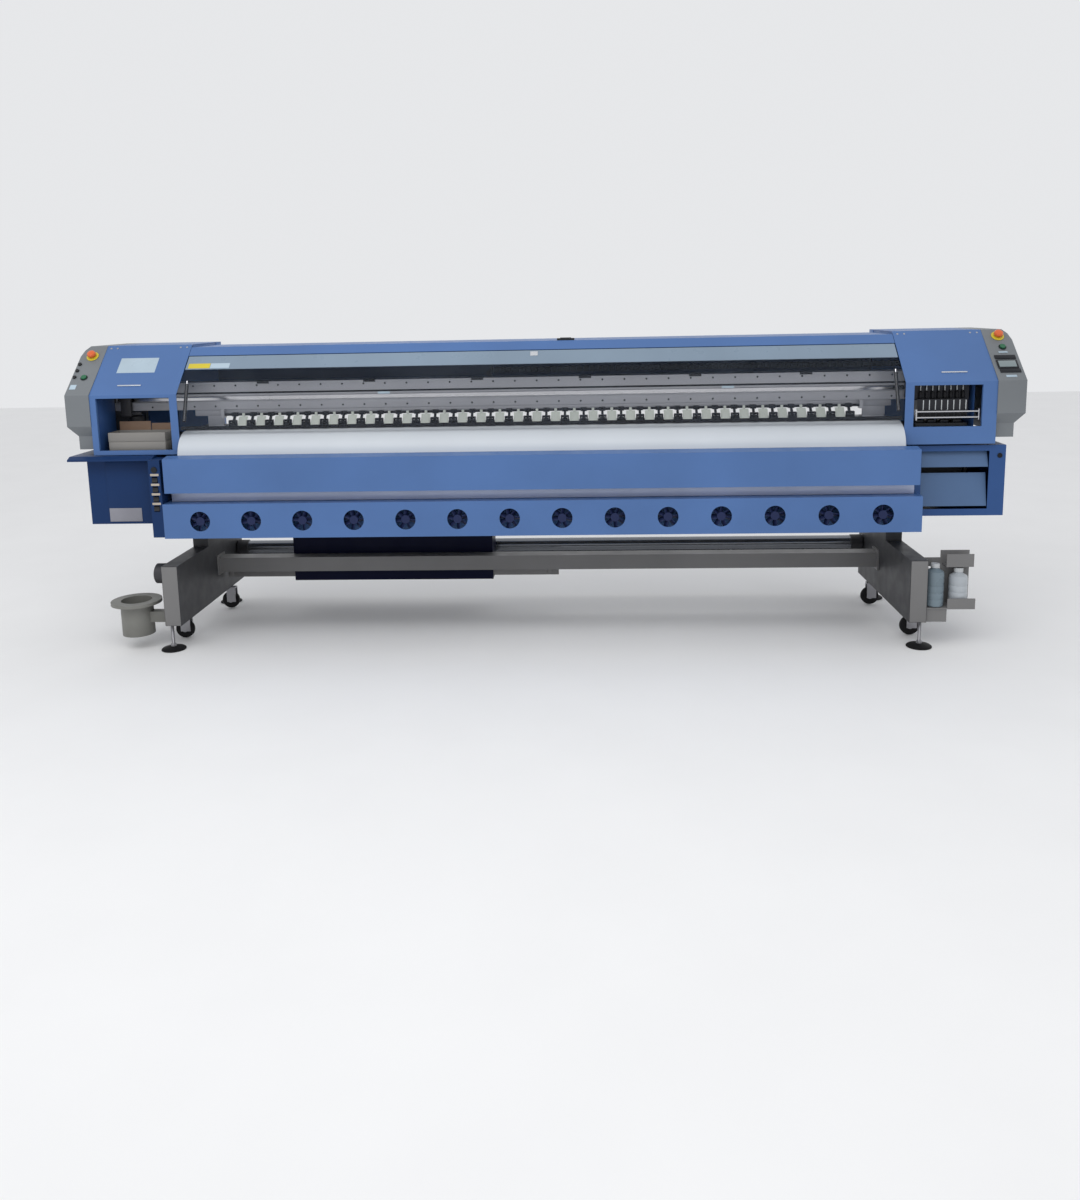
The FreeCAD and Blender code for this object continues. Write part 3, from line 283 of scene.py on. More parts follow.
turned(latch, CAM_LATCH, (-1.700, FRONT + 0.1165, 0.740), "Y", steps=24)
turned(latch, CAM_LATCH, (2.020, FRONT + 0.1198, 0.850), "Y", steps=24)
piece("cabinet_latches", latch, black_plastic)

# ---------------------------------------------------------------- bent casings of the two end bays
# Hoods, top cover and rear cover are folded sheet steel with a blue powder coat. Each hood has a
# hand hole with a folded edge and a side return seen through the hole, darkened as painted shade, and a
# pale strip at its pull recess that is a painted highlight of the recess's lit edge.
dress(blue_paint, "left_hood", "right_hood", "top_cover", "rear_cover")
SHOULDER = Vector((0, FRONT + 0.100, 1.175))
SLOPE_TOP = Vector((0, FRONT + 0.330, 1.388))
UP_SLOPE = (SLOPE_TOP - SHOULDER).normalized()
OUT_OF_SLOPE = Vector((0, -UP_SLOPE.z, UP_SLOPE.y))
SLOPE_LENGTH = (SLOPE_TOP - SHOULDER).length


def on_slope(mesh, vertices, x, up, lift=0.0):
    # move vertices so that X stays across, Y runs up the hoods' sloping face and Z stands out of it
    base = SHOULDER + UP_SLOPE * up + OUT_OF_SLOPE * lift
    turn = Matrix((Vector((1, 0, 0)), UP_SLOPE, OUT_OF_SLOPE)).transposed().to_4x4()
    move = Matrix.Translation(Vector((x, base.y, base.z))) @ turn
    bmesh.ops.transform(mesh, matrix=move, verts=vertices)


def slope_plate(name, span, rise, material, lift=0.0, thick=0.0007, bevel=0.0003, body="machine"):
    # a thin plate on the sloping face, between two X values and two distances up the slope
    mesh = bmesh.new()
    vertices = slab(mesh, (0, 0, 0), (span[1] - span[0], rise[1] - rise[0], thick), bevel)
    on_slope(mesh, vertices, span[0], rise[0], lift)
    return piece(name, mesh, material, body)


SCREW = ((0.0035, 0.0), (0.0046, 0.0004), (0.0042, 0.0012), (0.0018, 0.0015), (0.0016, 0.0007))
HAND_HOLES = {"left": (-1.972, -1.636, 0.925, 1.161), "right": (1.638, 1.929, 0.981, 1.161)}
hood_screws = bmesh.new()
flanges = bmesh.new()
returns = bmesh.new()
for side in ("left", "right"):
    low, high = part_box(side + "_hood")
    for x in (low.x + 0.020, low.x + 0.050, high.x - 0.050, high.x - 0.020):
        on_slope(hood_screws, turned(hood_screws, SCREW, (0, 0, 0), steps=12), x, 0.295)
    x0, x1, z0, z1 = HAND_HOLES[side]
    near, far = FRONT + 0.1035, FRONT + 0.115
    slab(flanges, (x0 - 0.002, near, z0), (x0, far, z1), 0.0005)
    slab(flanges, (x1, near, z0), (x1 + 0.002, far, z1), 0.0005)
    slab(flanges, (x0, near, z0 - 0.002), (x1, far, z0), 0.0005)
    slab(flanges, (x0, near, z1), (x1, far, z1 + 0.002), 0.0005)
# side returns inside the hand holes, in the darker cabinet blue as painted shade of the recess
slab(returns, (-1.9776, FRONT + 0.104, 0.915), (-1.9764, FRONT + 0.292, 1.170), 0.0005)
slab(returns, (1.9105, FRONT + 0.150, 0.970), (1.9120, FRONT + 0.292, 1.170), 0.0005)
piece("hood_screws", hood_screws, screw_steel)
piece("hood_hole_flanges", flanges, blue_paint)
piece("hood_side_returns", returns, cabinet_blue)
# webs that close the hoods' open sides above the lower top cover
webs = bmesh.new()
for x in (-1.6045, 1.6030):
    slab(webs, (x, FRONT + 0.330, 1.3600), (x + 0.0015, FRONT + 0.690, 1.3845), 0.0003)
    on_slope(webs, slab(webs, (0, 0, 0), (0.0015, 0.070, 0.022), 0.0003), x, 0.240, -0.026)
for x in (-1.9975, 1.9860):
    slab(webs, (x, FRONT + 0.104, 0.915), (x + 0.0015, FRONT + 0.140, 1.040), 0.0003)
for side in ("left", "right"):
    low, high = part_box(side + "_hood")
    edge = high.x - 0.0015 if side == "left" else low.x
    cover_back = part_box("rear_cover")[1].y
    slab(webs, (edge, cover_back - 0.002, low.z + 0.002),
         (edge + 0.0015, high.y - 0.002, high.z - 0.003), 0.0003)
piece("hood_side_webs", webs, blue_paint)
bright_alloy = coating("bright_aluminium", (0.62, 0.64, 0.67), 0.3, metallic=0.6, grain=600)
# pale strips at the hoods' pull recesses, a painted highlight of their lit edges
for side, span, rise in (("left", (-1.884, -1.776), (0.054, 0.060)),
                         ("right", (1.762, 1.872), (0.052, 0.058))):
    slope_plate(side + "_hood_pull_highlight", span, rise, bright_alloy, thick=0.004, bevel=0.0015)
# dark sheet behind the beam, seen through the lid, painted shade of the dark inside of the machine
painted_shade_lining = coating("inner_shade_paint", (0.012, 0.022, 0.058), 0.35, grain=620, sheen=0.2)
shade_sheet = bmesh.new()
slab(shade_sheet, (-BED_HALF + 0.004, FRONT + 0.618, 1.070), (BED_HALF - 0.004, FRONT + 0.632, 1.352))
piece("inner_shade_sheet", shade_sheet, painted_shade_lining)

# ---------------------------------------------------------------- moulded end caps and blank labels
# Grey moulded caps close the ends of the machine and carry the push buttons and a small screen. The
# labels on hood and caps are printed film, shown blank.
grey_moulding = coating("grey_moulding", (0.172, 0.186, 0.198), 0.45, grain=900, depth=0.25)
dark_insert = coating("dark_insert", (0.014, 0.016, 0.020), 0.35, grain=1100, sheen=0.25)
label_film = coating("blank_label_film", (0.42, 0.52, 0.60), 0.3, grain=300, depth=0.03, mottle=0.12)
yellow_film = coating("yellow_label_film", (0.62, 0.50, 0.04), 0.35, grain=300, depth=0.03, mottle=0.10)
screen_glass = coating("screen_glass", (0.20, 0.25, 0.26), 0.12, grain=200, depth=0.02, coat=0.8)
dress(grey_moulding, "left_end_cap", "right_end_cap")
slope_plate("left_hood_label", (-1.912, -1.735), (0.137, 0.230), label_film)
CAP_LIFT = 0.0043
slope_plate("left_cap_plate", (-2.100, -2.072), (0.036, 0.064), label_film, CAP_LIFT)
slope_plate("right_cap_small_label", (2.031, 2.070), (0.163, 0.171), label_film, CAP_LIFT)
slope_plate("right_cap_low_label", (2.028, 2.073), (0.018, 0.030), label_film, CAP_LIFT)
slope_plate("right_cap_upper_bar", (2.006, 2.095), (0.125, 0.147), dark_insert, CAP_LIFT, 0.003)
slope_plate("right_cap_lower_bar", (2.010, 2.097), (0.044, 0.066), dark_insert, CAP_LIFT, 0.003)
slope_plate("right_cap_screen_frame", (2.006, 2.094), (0.068, 0.118), dark_insert, CAP_LIFT, 0.004, 0.0015)
slope_plate("right_cap_screen", (2.013, 2.086), (0.075, 0.111), screen_glass, CAP_LIFT + 0.004, 0.001)

# ---------------------------------------------------------------- push buttons and their collars
# Emergency stops are orange-red mushroom heads on yellow collars. Start buttons are green and the
# three keys black, each start button in a moulded ring on the cap.
stop_red = coating("stop_red", (0.66, 0.115, 0.020), 0.25, grain=400, depth=0.03, coat=0.5)
start_green = coating("start_green", (0.010, 0.120, 0.050), 0.3, grain=400, depth=0.03, coat=0.4)
key_black = coating("key_black", (0.013, 0.013, 0.015), 0.4, grain=800)
dress(start_green, "left_start", "right_start")
dress(key_black, "left_keys")
MUSHROOM = ((0.008, -0.010), (0.008, 0.008), (0.0125, 0.010), (0.0185, 0.0115), (0.0198, 0.0150),
            (0.0192, 0.0205), (0.0160, 0.0250), (0.0090, 0.0272), (0.0010, 0.0278))
COLLAR = ((0.0265, 0.0), (0.0275, 0.0012), (0.0270, 0.0030), (0.0215, 0.0036), (0.0100, 0.0036))
RING = ((0.0150, 0.0), (0.0165, 0.0012), (0.0160, 0.0028), (0.0135, 0.0034), (0.0131, 0.0004))


def cap_place(share):
    # distance up the slope of a button whose place is a share of the slope
    return -0.0022 + share * SLOPE_LENGTH


for side, stop_x, stop_share, start_x, start_share in (("left", -2.052, 0.78, -2.052, 0.35),
                                                       ("right", 2.052, 0.86, 2.056, 0.64)):
    stop = bmesh.new()
    on_slope(stop, turned(stop, MUSHROOM, (0, 0, 0), steps=40), stop_x, cap_place(stop_share), 0.003)
    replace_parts(piece(side + "_stop_mushroom", stop, stop_red, side + "_stop"), side + "_stop")
    collar = bmesh.new()
    on_slope(collar, turned(collar, COLLAR, (0, 0, 0), steps=40), stop_x, cap_place(stop_share), 0.003)
    piece(side + "_stop_collar", collar, yellow_film)
    ring = bmesh.new()
    on_slope(ring, turned(ring, RING, (0, 0, 0)), start_x, cap_place(start_share), 0.003)
    piece(side + "_start_ring", ring, dark_insert)

# ---------------------------------------------------------------- bed, platens and rollers
# The bed is milled aluminium, with a white platen in front and a grey one behind, both enamelled.
# A gritted steel roller turns in the bed, and rubber wheels in black holders press the web on it.
white_enamel = coating("white_enamel", (0.55, 0.585, 0.625), 0.34, grain=260, depth=0.04, mottle=0.03)
grey_enamel = coating("grey_enamel", (0.27, 0.28, 0.30), 0.34, grain=260, depth=0.04, mottle=0.05)
bed_alloy = coating("bed_aluminium", (0.30, 0.31, 0.33), 0.36, metallic=0.6, grain=420)
grit_steel = coating("gritted_steel", (0.16, 0.16, 0.17), 0.6, metallic=0.8, grain=1600, depth=0.6)
guide_plate = coating("guide_plate", (0.46, 0.49, 0.45), 0.4, grain=500, depth=0.06)
dress(white_enamel, "front_platen")
dress(grey_enamel, "rear_platen")
dress(bed_alloy, "print_bed")
dress(grit_steel, "grit_roller")
dress(rubber, "pinch_wheels")
WHEEL_PITCH, WHEELS = 0.0852, 34
WHEEL_HEIGHT, WHEEL_BACK = 1.0173, 0.250
PIVOT_HEIGHT, PIVOT_BACK = 1.062, 0.290
low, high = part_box("pinch_arms")
fingers = bmesh.new()
leaves = bmesh.new()
turned(fingers, ((0.0050, low.x), (0.0060, low.x + 0.001), (0.0060, high.x - 0.001), (0.0050, high.x)),
       (0, FRONT + PIVOT_BACK, PIVOT_HEIGHT), "X", steps=20)
reach = math.hypot(PIVOT_BACK - WHEEL_BACK, PIVOT_HEIGHT - WHEEL_HEIGHT)
lean = math.atan2(PIVOT_HEIGHT - WHEEL_HEIGHT, PIVOT_BACK - WHEEL_BACK)
for index in range(WHEELS):
    x = (index - (WHEELS - 1) / 2) * WHEEL_PITCH
    slab(fingers, (x - 0.014, FRONT + 0.2785, 1.0535), (x + 0.014, FRONT + 0.300, 1.0715), 0.002)
    neck = slab(fingers, (-0.0055, 0.010, -0.005), (0.0055, reach - 0.004, 0.005), 0.001)
    along = (Matrix.Translation(Vector((x, FRONT + WHEEL_BACK, WHEEL_HEIGHT)))
             @ Matrix.Rotation(lean, 4, "X"))
    bmesh.ops.transform(fingers, matrix=along, verts=neck)
    for offset in (-0.0185, 0.0130):
        slab(fingers, (x + offset, FRONT + 0.2425, 1.0095),
             (x + offset + 0.0055, FRONT + 0.263, 1.0370), 0.0015)
    slab(fingers, (x - 0.0185, FRONT + 0.2440, 1.0305), (x + 0.0185, FRONT + 0.262, 1.0400), 0.002)
    if index < WHEELS - 1:
        leaf = slab(leaves, (-0.0205, 0, 0), (0.0205, 0.052, 0.0018), 0.0006)
        tilt = (Matrix.Translation(Vector((x + WHEEL_PITCH / 2, FRONT + 0.246, 1.0135)))
                @ Matrix.Rotation(math.radians(50), 4, "X"))
        bmesh.ops.transform(leaves, matrix=tilt, verts=leaf)
        slab(leaves, (x + WHEEL_PITCH / 2 - 0.006, FRONT + 0.276, 1.0520),
             (x + WHEEL_PITCH / 2 + 0.006, FRONT + 0.283, 1.0690), 0.001)
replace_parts(piece("pinch_fingers", fingers, black_plastic, "pinch_arms"), "pinch_arms")
piece("web_guide_plates", leaves, guide_plate, "pinch_arms")
bed_label = bmesh.new()
slab(bed_label, (1.535, FRONT + 0.190, 1.0031), (1.585, FRONT + 0.222, 1.0036), 0.0002)
piece("bed_end_label", bed_label, label_film)

# ---------------------------------------------------------------- guide beam, belt and drive
# The beam is an aluminium extrusion with a ground steel rail in its groove, a toothed belt along its
# face, black clips on its top edge, end brackets and a motor at the left end.
beam_alloy = coating("beam_aluminium", (0.290, 0.295, 0.320), 0.35, metallic=0.35, grain=260)
steel = coating("ground_steel", (0.56, 0.56, 0.58), 0.22, metallic=1.0, grain=1500, depth=0.05)
cast_grey = coating("motor_grey", (0.055, 0.055, 0.060), 0.5, metallic=0.4, grain=400, depth=0.3)
dress(beam_alloy, "guide_beam")
low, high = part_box("guide_beam")
BEAM_FACE = FRONT + 0.300
rail = bmesh.new()
slab(rail, (low.x + 0.01, BEAM_FACE + 0.0103, 1.127), (high.x - 0.01, BEAM_FACE + 0.0118, 1.145), 0.0004)
piece("guide_rail_strip", rail, steel)
flange = bmesh.new()
slab(flange, (-BED_HALF, BEAM_FACE + 0.0042, 1.0560), (BED_HALF, BEAM_FACE + 0.0058, 1.0856), 0.0004)
piece("beam_lower_flange", flange, beam_alloy)
belt = bmesh.new()
slab(belt, (-1.900, BEAM_FACE - 0.0022, 1.158), (1.880, BEAM_FACE - 0.0008, 1.166), 0.0004)
piece("carriage_belt", belt, rubber)
BEAM_SCREWS, SCREW_PITCH = 37, 0.1
beam_screws = bmesh.new()
for index in range(BEAM_SCREWS):
    for height in (1.100, 1.196):
        turned(beam_screws, backwards(SCREW), (-1.80 + SCREW_PITCH * index, BEAM_FACE, height), "Y", steps=12)
piece("beam_screws", beam_screws, dark_insert)
CLIP_PLACES = (-1.27, -0.772, -0.273, 0.221, 0.720, 1.217)
clips = bmesh.new()
for x in CLIP_PLACES:
    slab(clips, (x - 0.028, BEAM_FACE - 0.0024, 1.203), (x + 0.028, BEAM_FACE - 0.0004, 1.2155), 0.0006)
    slab(clips, (x - 0.028, BEAM_FACE, 1.2122), (x + 0.028, BEAM_FACE + 0.030, 1.2155), 0.0006)
piece("beam_clips", clips, black_plastic)
TAG_PLACES = (-0.707, 0.868)
tags = bmesh.new()
for x in TAG_PLACES:
    slab(tags, (x - 0.028, BEAM_FACE - 0.0005, 1.147), (x + 0.028, BEAM_FACE + 0.0001, 1.157), 0.0002)
piece("beam_blank_labels", tags, label_film)
brackets = bmesh.new()
for x0, x1 in ((-1.543, -1.468), (1.473, 1.574)):
    slab(brackets, (x0, FRONT + 0.306, 1.0045), (x1, FRONT + 0.360, 1.012), 0.002)
    slab(brackets, (x0, FRONT + 0.306, 1.012), (x1, FRONT + 0.316, 1.0770), 0.002)
    slab(brackets, (x0, FRONT + 0.306, 1.0770), (x1, FRONT + 0.372, 1.0845), 0.002)
piece("beam_end_brackets", brackets, beam_alloy)
drive = bmesh.new()
turned(drive, ((0.030, 0.0), (0.033, 0.002), (0.033, 0.070), (0.028, 0.074), (0.010, 0.075)),
       (-1.900, FRONT + 0.345, 0.985), "Z", steps=36)
slab(drive, (-1.945, FRONT + 0.280, 1.060), (-1.895, FRONT + 0.2985, 1.165), 0.004)
slab(drive, (-1.895, FRONT + 0.286, 1.066), (-1.850, FRONT + 0.2985, 1.082), 0.003)
piece("carriage_motor", drive, cast_grey)

# ---------------------------------------------------------------- drag chain
# A plastic chain of hinged links carries tubes and wires to the carriage. Its upper run is fixed to
# the carriage, its bend follows at half the speed and its lower run lies in the beam's tray.
LINK = 0.030


def chain_links(mesh, start, end, low, high):
    # two side plates and two cross bars for each link
    for index in range(int((end - start) / LINK)):
        x = start + index * LINK
        for y in (low.y, high.y - 0.006):
            slab(mesh, (x + 0.001, y, low.z), (x + LINK - 0.002, y + 0.006, high.z), 0.002)
        for z in (low.z + 0.001, high.z - 0.004):
            slab(mesh, (x + 0.006, low.y + 0.006, z), (x + LINK - 0.010, high.y - 0.006, z + 0.003), 0.0008)


low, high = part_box("chain_run")
bend_low, bend_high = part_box("chain_bend")
upper = bmesh.new()
chain_links(upper, low.x, high.x, low, high)
upper_run = piece("chain_upper_links", upper, black_plastic, "carriage")
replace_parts(upper_run, "chain_run")
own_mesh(upper_run)
LOWER_RUN = 1.72
lower = bmesh.new()
chain_links(lower, bend_high.x, bend_high.x + LOWER_RUN, Vector((0, low.y, bend_low.z)),
            Vector((0, high.y, bend_low.z + high.z - low.z)))
piece("chain_lower_links", lower, black_plastic, "chain_bend")
dress(black_plastic, "chain_bend")

# ---------------------------------------------------------------- carriage
# A machined block carries the print heads under a bent housing. Black dampers with white tubes stand
# on the block, flat cables run down its face and a bridge reaches over the beam to the drag chain.
carriage_metal = coating("carriage_metal", (0.026, 0.027, 0.032), 0.38, metallic=0.3, grain=500, sheen=0.2)
tube_white = coating("tube_white", (0.50, 0.52, 0.53), 0.35, grain=400, depth=0.05, mottle=0.2)
dress(carriage_metal, "carriage")
low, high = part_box("carriage")
DAMPER = ((0.0060, 0.0), (0.0072, 0.002), (0.0072, 0.030), (0.0050, 0.034), (0.0030, 0.036))
TUBE = ((0.0018, 0.0), (0.0024, 0.001), (0.0024, 0.023), (0.0018, 0.024))
DAMPERS, DAMPER_PITCH = 8, 0.026
dampers = bmesh.new()
tubes = bmesh.new()
for index in range(DAMPERS):
    x = low.x + 0.030 + DAMPER_PITCH * index
    turned(dampers, DAMPER, (x, FRONT + 0.1640, 1.0970), steps=20)
    turned(tubes, TUBE, (x, FRONT + 0.1660, 1.1325), steps=12)
    slab(tubes, (x + 0.006, FRONT + 0.1455, 1.0500), (x + 0.010, FRONT + 0.1479, 1.0930), 0.001)
    slab(dampers, (x - 0.009, FRONT + 0.1440, 1.0220), (x + 0.009, FRONT + 0.1479, 1.0400), 0.001)
piece("ink_dampers", dampers, black_plastic, "carriage")
piece("damper_tubes", tubes, tube_white, "carriage")
parking = bmesh.new()
for height in (1.019, 1.045):
    turned(parking, ((0.0025, 0.0), (0.0040, 0.002), (0.0040, 0.273), (0.0025, 0.275)),
           (1.650, FRONT + 0.122, height), "X", steps=20)
for x in (1.652, 1.918):
    slab(parking, (x, FRONT + 0.115, 1.008), (x + 0.006, FRONT + 0.130, 1.056), 0.001)
piece("parking_rails", parking, steel)

# ---------------------------------------------------------------- stations in the end bays
# A grey flushing box with a tan splash plate stands in the left bay, and a capping station with four
# caps under the parked carriage.
station_plastic = coating("station_plastic", (0.230, 0.220, 0.205), 0.45, grain=700, depth=0.2)
splash_tan = coating("splash_plate", (0.210, 0.135, 0.090), 0.5, grain=300, mottle=0.35)
x0, x1, y0, y1 = -1.941, -1.678, FRONT + 0.128, FRONT + 0.236
flush = bmesh.new()
slab(flush, (x0, y0, 0.916), (x1, y1, 0.962), 0.004)
slab(flush, (x0, y0, 0.962), (x1, y0 + 0.004, 1.003), 0.001)
slab(flush, (x0, y1 - 0.004, 0.962), (x1, y1, 1.003), 0.001)
slab(flush, (x0, y0 + 0.004, 0.962), (x0 + 0.004, y1 - 0.004, 1.003), 0.001)
slab(flush, (x1 - 0.004, y0 + 0.004, 0.962), (x1, y1 - 0.004, 1.003), 0.001)
piece("flushing_box", flush, station_plastic)
splash = bmesh.new()
slab(splash, (x0 + 0.006, y1 + 0.002, 0.950), (x1 - 0.110, y1 + 0.006, 1.043), 0.001)
slab(splash, (x1 - 0.106, y1 + 0.002, 0.950), (x1 - 0.012, y1 + 0.006, 1.034), 0.001)
piece("flushing_splash_plate", splash, splash_tan)
CAPS, CAP_PITCH = 4, 0.054
capping = bmesh.new()
slab(capping, (1.662, FRONT + 0.152, 0.950), (1.888, FRONT + 0.238, 0.992), 0.004)
for index in range(CAPS):
    x = 1.684 + CAP_PITCH * index
    slab(capping, (x - 0.018, FRONT + 0.164, 0.992), (x + 0.018, FRONT + 0.226, 1.006), 0.003)
piece("capping_station", capping, dark_insert)

# ---------------------------------------------------------------- lid with its rail and window
# The lid is a clear acrylic sheet bent at the shoulder and held under a grey hinge rail, with a
# dark rubber strip along its bottom edge. Two gas struts hold it open.
rail_paint = coating("rail_paint", (0.205, 0.270, 0.345), 0.32, grain=900)
strut_paint = coating("strut_paint", (0.015, 0.015, 0.017), 0.3, grain=900, coat=0.3)
strut_chrome = coating("strut_chrome", (0.66, 0.66, 0.68), 0.12, metallic=1.0, grain=1500, depth=0.02)
acrylic = coating("lid_acrylic", (0.24, 0.29, 0.37), 0.07, grain=60, depth=0.015, mottle=0.03, sheen=0.12)
see_through = spread(acrylic.node_tree, pattern(acrylic.node_tree, 3.1, 5.0, 0.6), 0.018, 0.045)
acrylic.node_tree.links.new(see_through, acrylic.node_tree.nodes["Principled BSDF"].inputs["Alpha"])
dress(rail_paint, "lid_rail")
dress(acrylic, "lid_window")
dress(strut_paint, "left_strut_tube", "right_strut_tube")
dress(strut_chrome, "left_strut_rod", "right_strut_rod")
low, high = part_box("lid_window")
strip = bmesh.new()
slab(strip, (low.x + 0.004, low.y + 0.0042, low.z + 0.001),
     (high.x - 0.004, low.y + 0.0090, low.z + 0.018), 0.001)
piece("lid_bottom_strip", strip, rubber, "lid")
slope_plate("lid_yellow_label", (-1.585, -1.485), (0.158, 0.188), yellow_film, thick=0.0006, body="lid")
slope_plate("lid_white_label", (-1.483, -1.395), (0.158, 0.188), label_film, thick=0.0006, body="lid")
slope_plate("lid_centre_latch", (-0.024, 0.010), (0.200, 0.226), bright_alloy, thick=0.0025, bevel=0.001,
            body="lid")
catch = bmesh.new()
slab(catch, (0.095, FRONT + 0.318, 1.3752), (0.175, FRONT + 0.345, 1.3850), 0.002)
slab(catch, (0.110, FRONT + 0.322, 1.3840), (0.160, FRONT + 0.340, 1.3875), 0.001)
piece("top_cover_catch", catch, dark_insert)

# ---------------------------------------------------------------- drying unit
# A folded blue box holds fourteen axial fans with moulded rotors, tinted dark navy partly as painted shade
# of the box's interior, under a bent blue panel that covers the heater. A pale reflector shows in the slot
# between them, where warm air leaves.
# rotor plastic darkened to navy, partly painted shade of the fan box's interior
fan_plastic_and_shade = coating("fan_plastic_and_shade", (0.014, 0.022, 0.072), 0.4, grain=800, depth=0.15, sheen=0.2)
reflector_alloy = coating("reflector_aluminium", (0.44, 0.49, 0.64), 0.35, metallic=0.3, grain=300)
dress(blue_paint, "fan_box", "dryer_panel")
dress(fan_plastic_and_shade, "dryer_fans")
FANS, FAN_PITCH, FAN_HEIGHT = 14, 0.230, 0.616
FAN_BLADES, BLADE_TWIST, FAN_SCREW_SPREAD = 7, 52, 0.0525
blades = bmesh.new()
fan_screws = bmesh.new()
for index in range(FANS):
    x = (index - (FANS - 1) / 2) * FAN_PITCH
    for blade in range(FAN_BLADES):
        vane = slab(blades, (0.0185, -0.0012, -0.012), (0.053, 0.0012, 0.012), 0.0008)
        turn = (Matrix.Translation(Vector((x, FRONT + 0.0155, FAN_HEIGHT)))
                @ Matrix.Rotation(blade * 2 * math.pi / FAN_BLADES + 0.3 * index, 4, "Y")
                @ Matrix.Rotation(math.radians(BLADE_TWIST), 4, "X"))
        bmesh.ops.transform(blades, matrix=turn, verts=vane)
    for across in (-FAN_SCREW_SPREAD, FAN_SCREW_SPREAD):
        for rise in (-FAN_SCREW_SPREAD, FAN_SCREW_SPREAD):
            turned(fan_screws, backwards(SCREW), (x + across, FRONT + 0.0016, FAN_HEIGHT + rise), "Y",
                   steps=10)
piece("fan_blades", blades, fan_plastic_and_shade)
piece("fan_screws", fan_screws, screw_steel)
reflector = bmesh.new()
slab(reflector, (-1.640, FRONT + 0.060, 0.6965), (1.640, FRONT + 0.0615, 0.7425), 0.0004)
slab(reflector, (-1.640, FRONT + 0.0615, 0.6965), (1.640, FRONT + 0.090, 0.6980), 0.0004)
piece("heater_reflector", reflector, reflector_alloy)

# ---------------------------------------------------------------- switch plate
# A narrow blue plate at the left of the drying unit carries a lamp and four rocker switches, with
# blank cream label strips between them.
cream_film = coating("cream_label_film", (0.50, 0.44, 0.36), 0.4, grain=300, depth=0.03, mottle=0.2)
dress(deep_blue_and_shade, "switch_plate")
dress(key_black, "rocker_1", "rocker_2", "rocker_3", "rocker_4")
lamp = bmesh.new()
turned(lamp, ((0.013, 0.0), (0.014, -0.002), (0.013, -0.004), (0.010, -0.0045), (0.002, -0.0048)),
       (-1.687, FRONT + 0.0050, 0.850), "Y", steps=28)
piece("power_lamp", lamp, dark_insert)
STRIP_HEIGHTS = (0.8275, 0.7835, 0.7405, 0.6975)
strips = bmesh.new()
for height in STRIP_HEIGHTS:
    slab(strips, (-1.706, FRONT + 0.0044, height - 0.005), (-1.668, FRONT + 0.0050, height + 0.005), 0.0002)
piece("switch_blank_labels", strips, cream_film)

# ---------------------------------------------------------------- electrical box and media shafts
# A navy sheet-steel box with a screwed rear cover hangs behind the crossbeam, its paint darkened nearly to
# black as painted shade. Behind it turn the feed roller and the take-up shaft, driven by small motors at the
# legs.
navy = coating("navy_paint", (0.0020, 0.0035, 0.0200), 0.4, grain=620, sheen=0.08)
roller_steel = coating("roller_steel", (0.20, 0.21, 0.23), 0.22, metallic=0.9, grain=900, depth=0.04)
dress(navy, "electrical_box")
dress(roller_steel, "feed_shaft", "take_up_shaft")
low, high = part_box("electrical_box")
cover = bmesh.new()
slab(cover, (low.x + 0.012, high.y, low.z + 0.012), (high.x - 0.012, high.y + 0.0018, high.z - 0.012))
for index in range(12):
    x = low.x + 0.20 + 0.05 * index
    for z in (low.z + 0.06, low.z + 0.09):
        slab(cover, (x, high.y + 0.0018, z), (x + 0.030, high.y + 0.0045, z + 0.006))
piece("electrical_box_cover", cover, navy)
MOTOR = ((0.036, 0.0), (0.040, 0.003), (0.040, 0.058), (0.036, 0.062))
motors = bmesh.new()
for x in (-1.632, 1.570):
    turned(motors, MOTOR, (x, FRONT + 0.838, 0.298), "X", steps=40)
turned(motors, backwards(((0.040, 0.0), (0.046, 0.003), (0.046, 0.038), (0.040, 0.042), (0.012, 0.048))),
       (-1.7115, FRONT + 0.100, 0.355), "X", steps=40)
piece("shaft_motors", motors, cast_grey)

# ---------------------------------------------------------------- waste pail, rack and bottles
# A stained plastic pail catches waste ink on an arm from the left leg. A clear and a white bottle
# with screw caps stand on the rack at the right leg.
pail_plastic = coating("pail_plastic", (0.150, 0.150, 0.138), 0.5, grain=300, mottle=0.35)
clear_bottle = coating("smoky_bottle_plastic", (0.170, 0.220, 0.255), 0.3, grain=300, mottle=0.2)
white_bottle = coating("white_bottle_plastic", (0.42, 0.45, 0.48), 0.35, grain=300, mottle=0.15)
cap_white = coating("cap_white", (0.48, 0.50, 0.51), 0.4, grain=500)
dress(pail_plastic, "waste_bucket")
caps = bmesh.new()
SHELF_TOP = 0.1843
for name, x, back, height, material in (("smoky_bottle", 1.755, 0.093, 0.192, clear_bottle),
                                        ("white_bottle", 1.860, 0.100, 0.170, white_bottle)):
    shoulder = height - 0.027
    outline = [(0.034, 0.0), (0.0392, 0.004), (0.0395, 0.010)]
    for rib in (0.030, 0.060, 0.090):
        outline += [(0.0395, rib), (0.0382, rib + 0.003), (0.0395, rib + 0.006)]
    outline += [(0.0395, shoulder - 0.020), (0.0370, shoulder - 0.008), (0.0250, shoulder),
                (0.0175, shoulder + 0.004), (0.0170, shoulder + 0.010)]
    bottle = bmesh.new()
    turned(bottle, outline, (x, FRONT + back, SHELF_TOP), steps=48)
    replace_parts(piece(name, bottle, material), "ink_bottles")
    lid_top = [(0.0180, shoulder + 0.008), (0.0196, shoulder + 0.010), (0.0196, shoulder + 0.023),
               (0.0180, shoulder + 0.0265), (0.002, shoulder + 0.0268)]
    turned(caps, lid_top, (x, FRONT + back, SHELF_TOP), steps=40)
piece("bottle_caps", caps, cap_white)

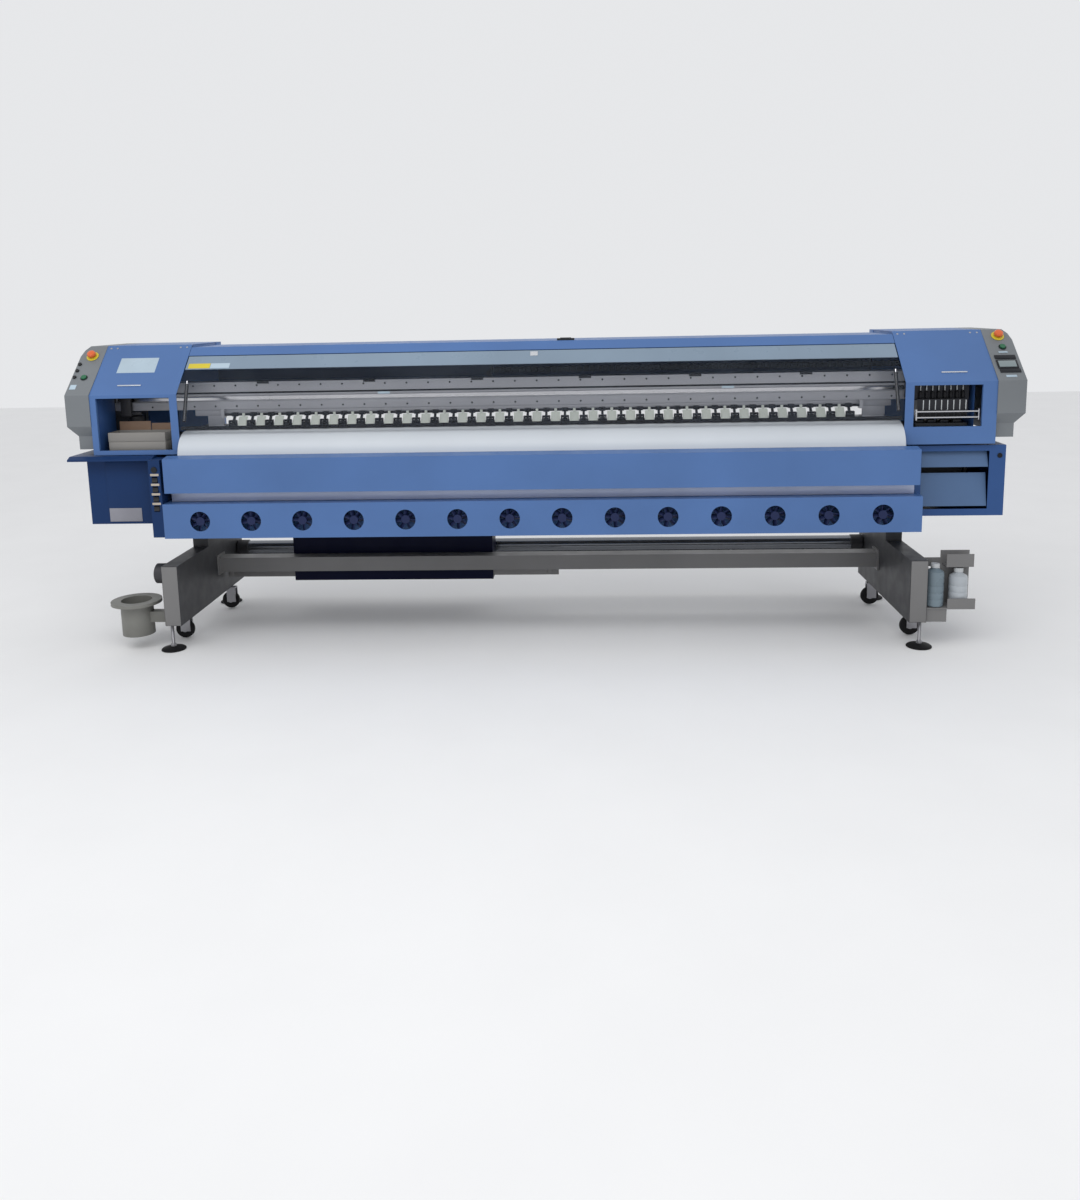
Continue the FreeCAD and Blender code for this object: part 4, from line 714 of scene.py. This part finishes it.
# ---------------------------------------------------------------- floor, light and camera
# A plain pale floor and soft light from all round, stronger from above the front. The camera looks
# slightly down at the machine from a little right of its middle.
stage_white = coating("stage_white", (0.86, 0.86, 0.86), 0.8, grain=3, depth=0.01, mottle=0.01)
floor = bmesh.new()
slab(floor, (-14, -9, -0.05), (14, 12, 0), 0.001)
floor_data = bpy.data.meshes.new("floor")
floor.to_mesh(floor_data)
floor.free()
floor_data.materials.append(stage_white)
floor_object = bpy.data.objects.new("floor", floor_data)
bpy.context.scene.collection.objects.link(floor_object)
floor_object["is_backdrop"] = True

bpy.context.scene.view_settings.view_transform = "Standard"
world = bpy.data.worlds.new("studio")
world.use_nodes = True
world.node_tree.nodes["Background"].inputs["Color"].default_value = (0.97, 0.98, 1.0, 1.0)
world.node_tree.nodes["Background"].inputs["Strength"].default_value = 0.82
bpy.context.scene.world = world


def soft_light(name, place, aim, size, power):
    lamp_data = bpy.data.lights.new(name, "AREA")
    lamp_data.shape = "RECTANGLE"
    lamp_data.size, lamp_data.size_y = size
    lamp_data.energy = power
    made = bpy.data.objects.new(name, lamp_data)
    made.location = place
    made.rotation_euler = (Vector(aim) - Vector(place)).to_track_quat("-Z", "Y").to_euler()
    bpy.context.scene.collection.objects.link(made)


soft_light("key_light", (-0.8, -3.6, 4.2), (0, 0, 0.9), (6.0, 2.4), 90)

EYE = Vector((0.2413, -4.775, 1.5286))
YAW, PITCH_DOWN, ROLL = math.radians(2.9), math.radians(9.17), math.radians(1.17)
FOCAL, IMAGE_HEIGHT, AXIS_ABOVE_MIDDLE = 1011.7, 1200, 130
forward = Vector((-math.sin(YAW) * math.cos(PITCH_DOWN), math.cos(YAW) * math.cos(PITCH_DOWN),
                  -math.sin(PITCH_DOWN)))
level = Vector((math.cos(YAW), math.sin(YAW), 0))
upright = level.cross(forward)
right = level * math.cos(ROLL) - upright * math.sin(ROLL)
up = upright * math.cos(ROLL) + level * math.sin(ROLL)
camera_data = bpy.data.cameras.new("camera")
camera_data.sensor_width = 36.0
camera_data.lens = FOCAL * camera_data.sensor_width / IMAGE_HEIGHT
camera_data.shift_y = -AXIS_ABOVE_MIDDLE / IMAGE_HEIGHT
camera = bpy.data.objects.new("camera", camera_data)
turn = Matrix((right, up, -forward)).transposed().to_4x4()
camera.matrix_world = Matrix.Translation(EYE) @ turn
bpy.context.scene.collection.objects.link(camera)
bpy.context.scene.camera = camera

low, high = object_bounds()
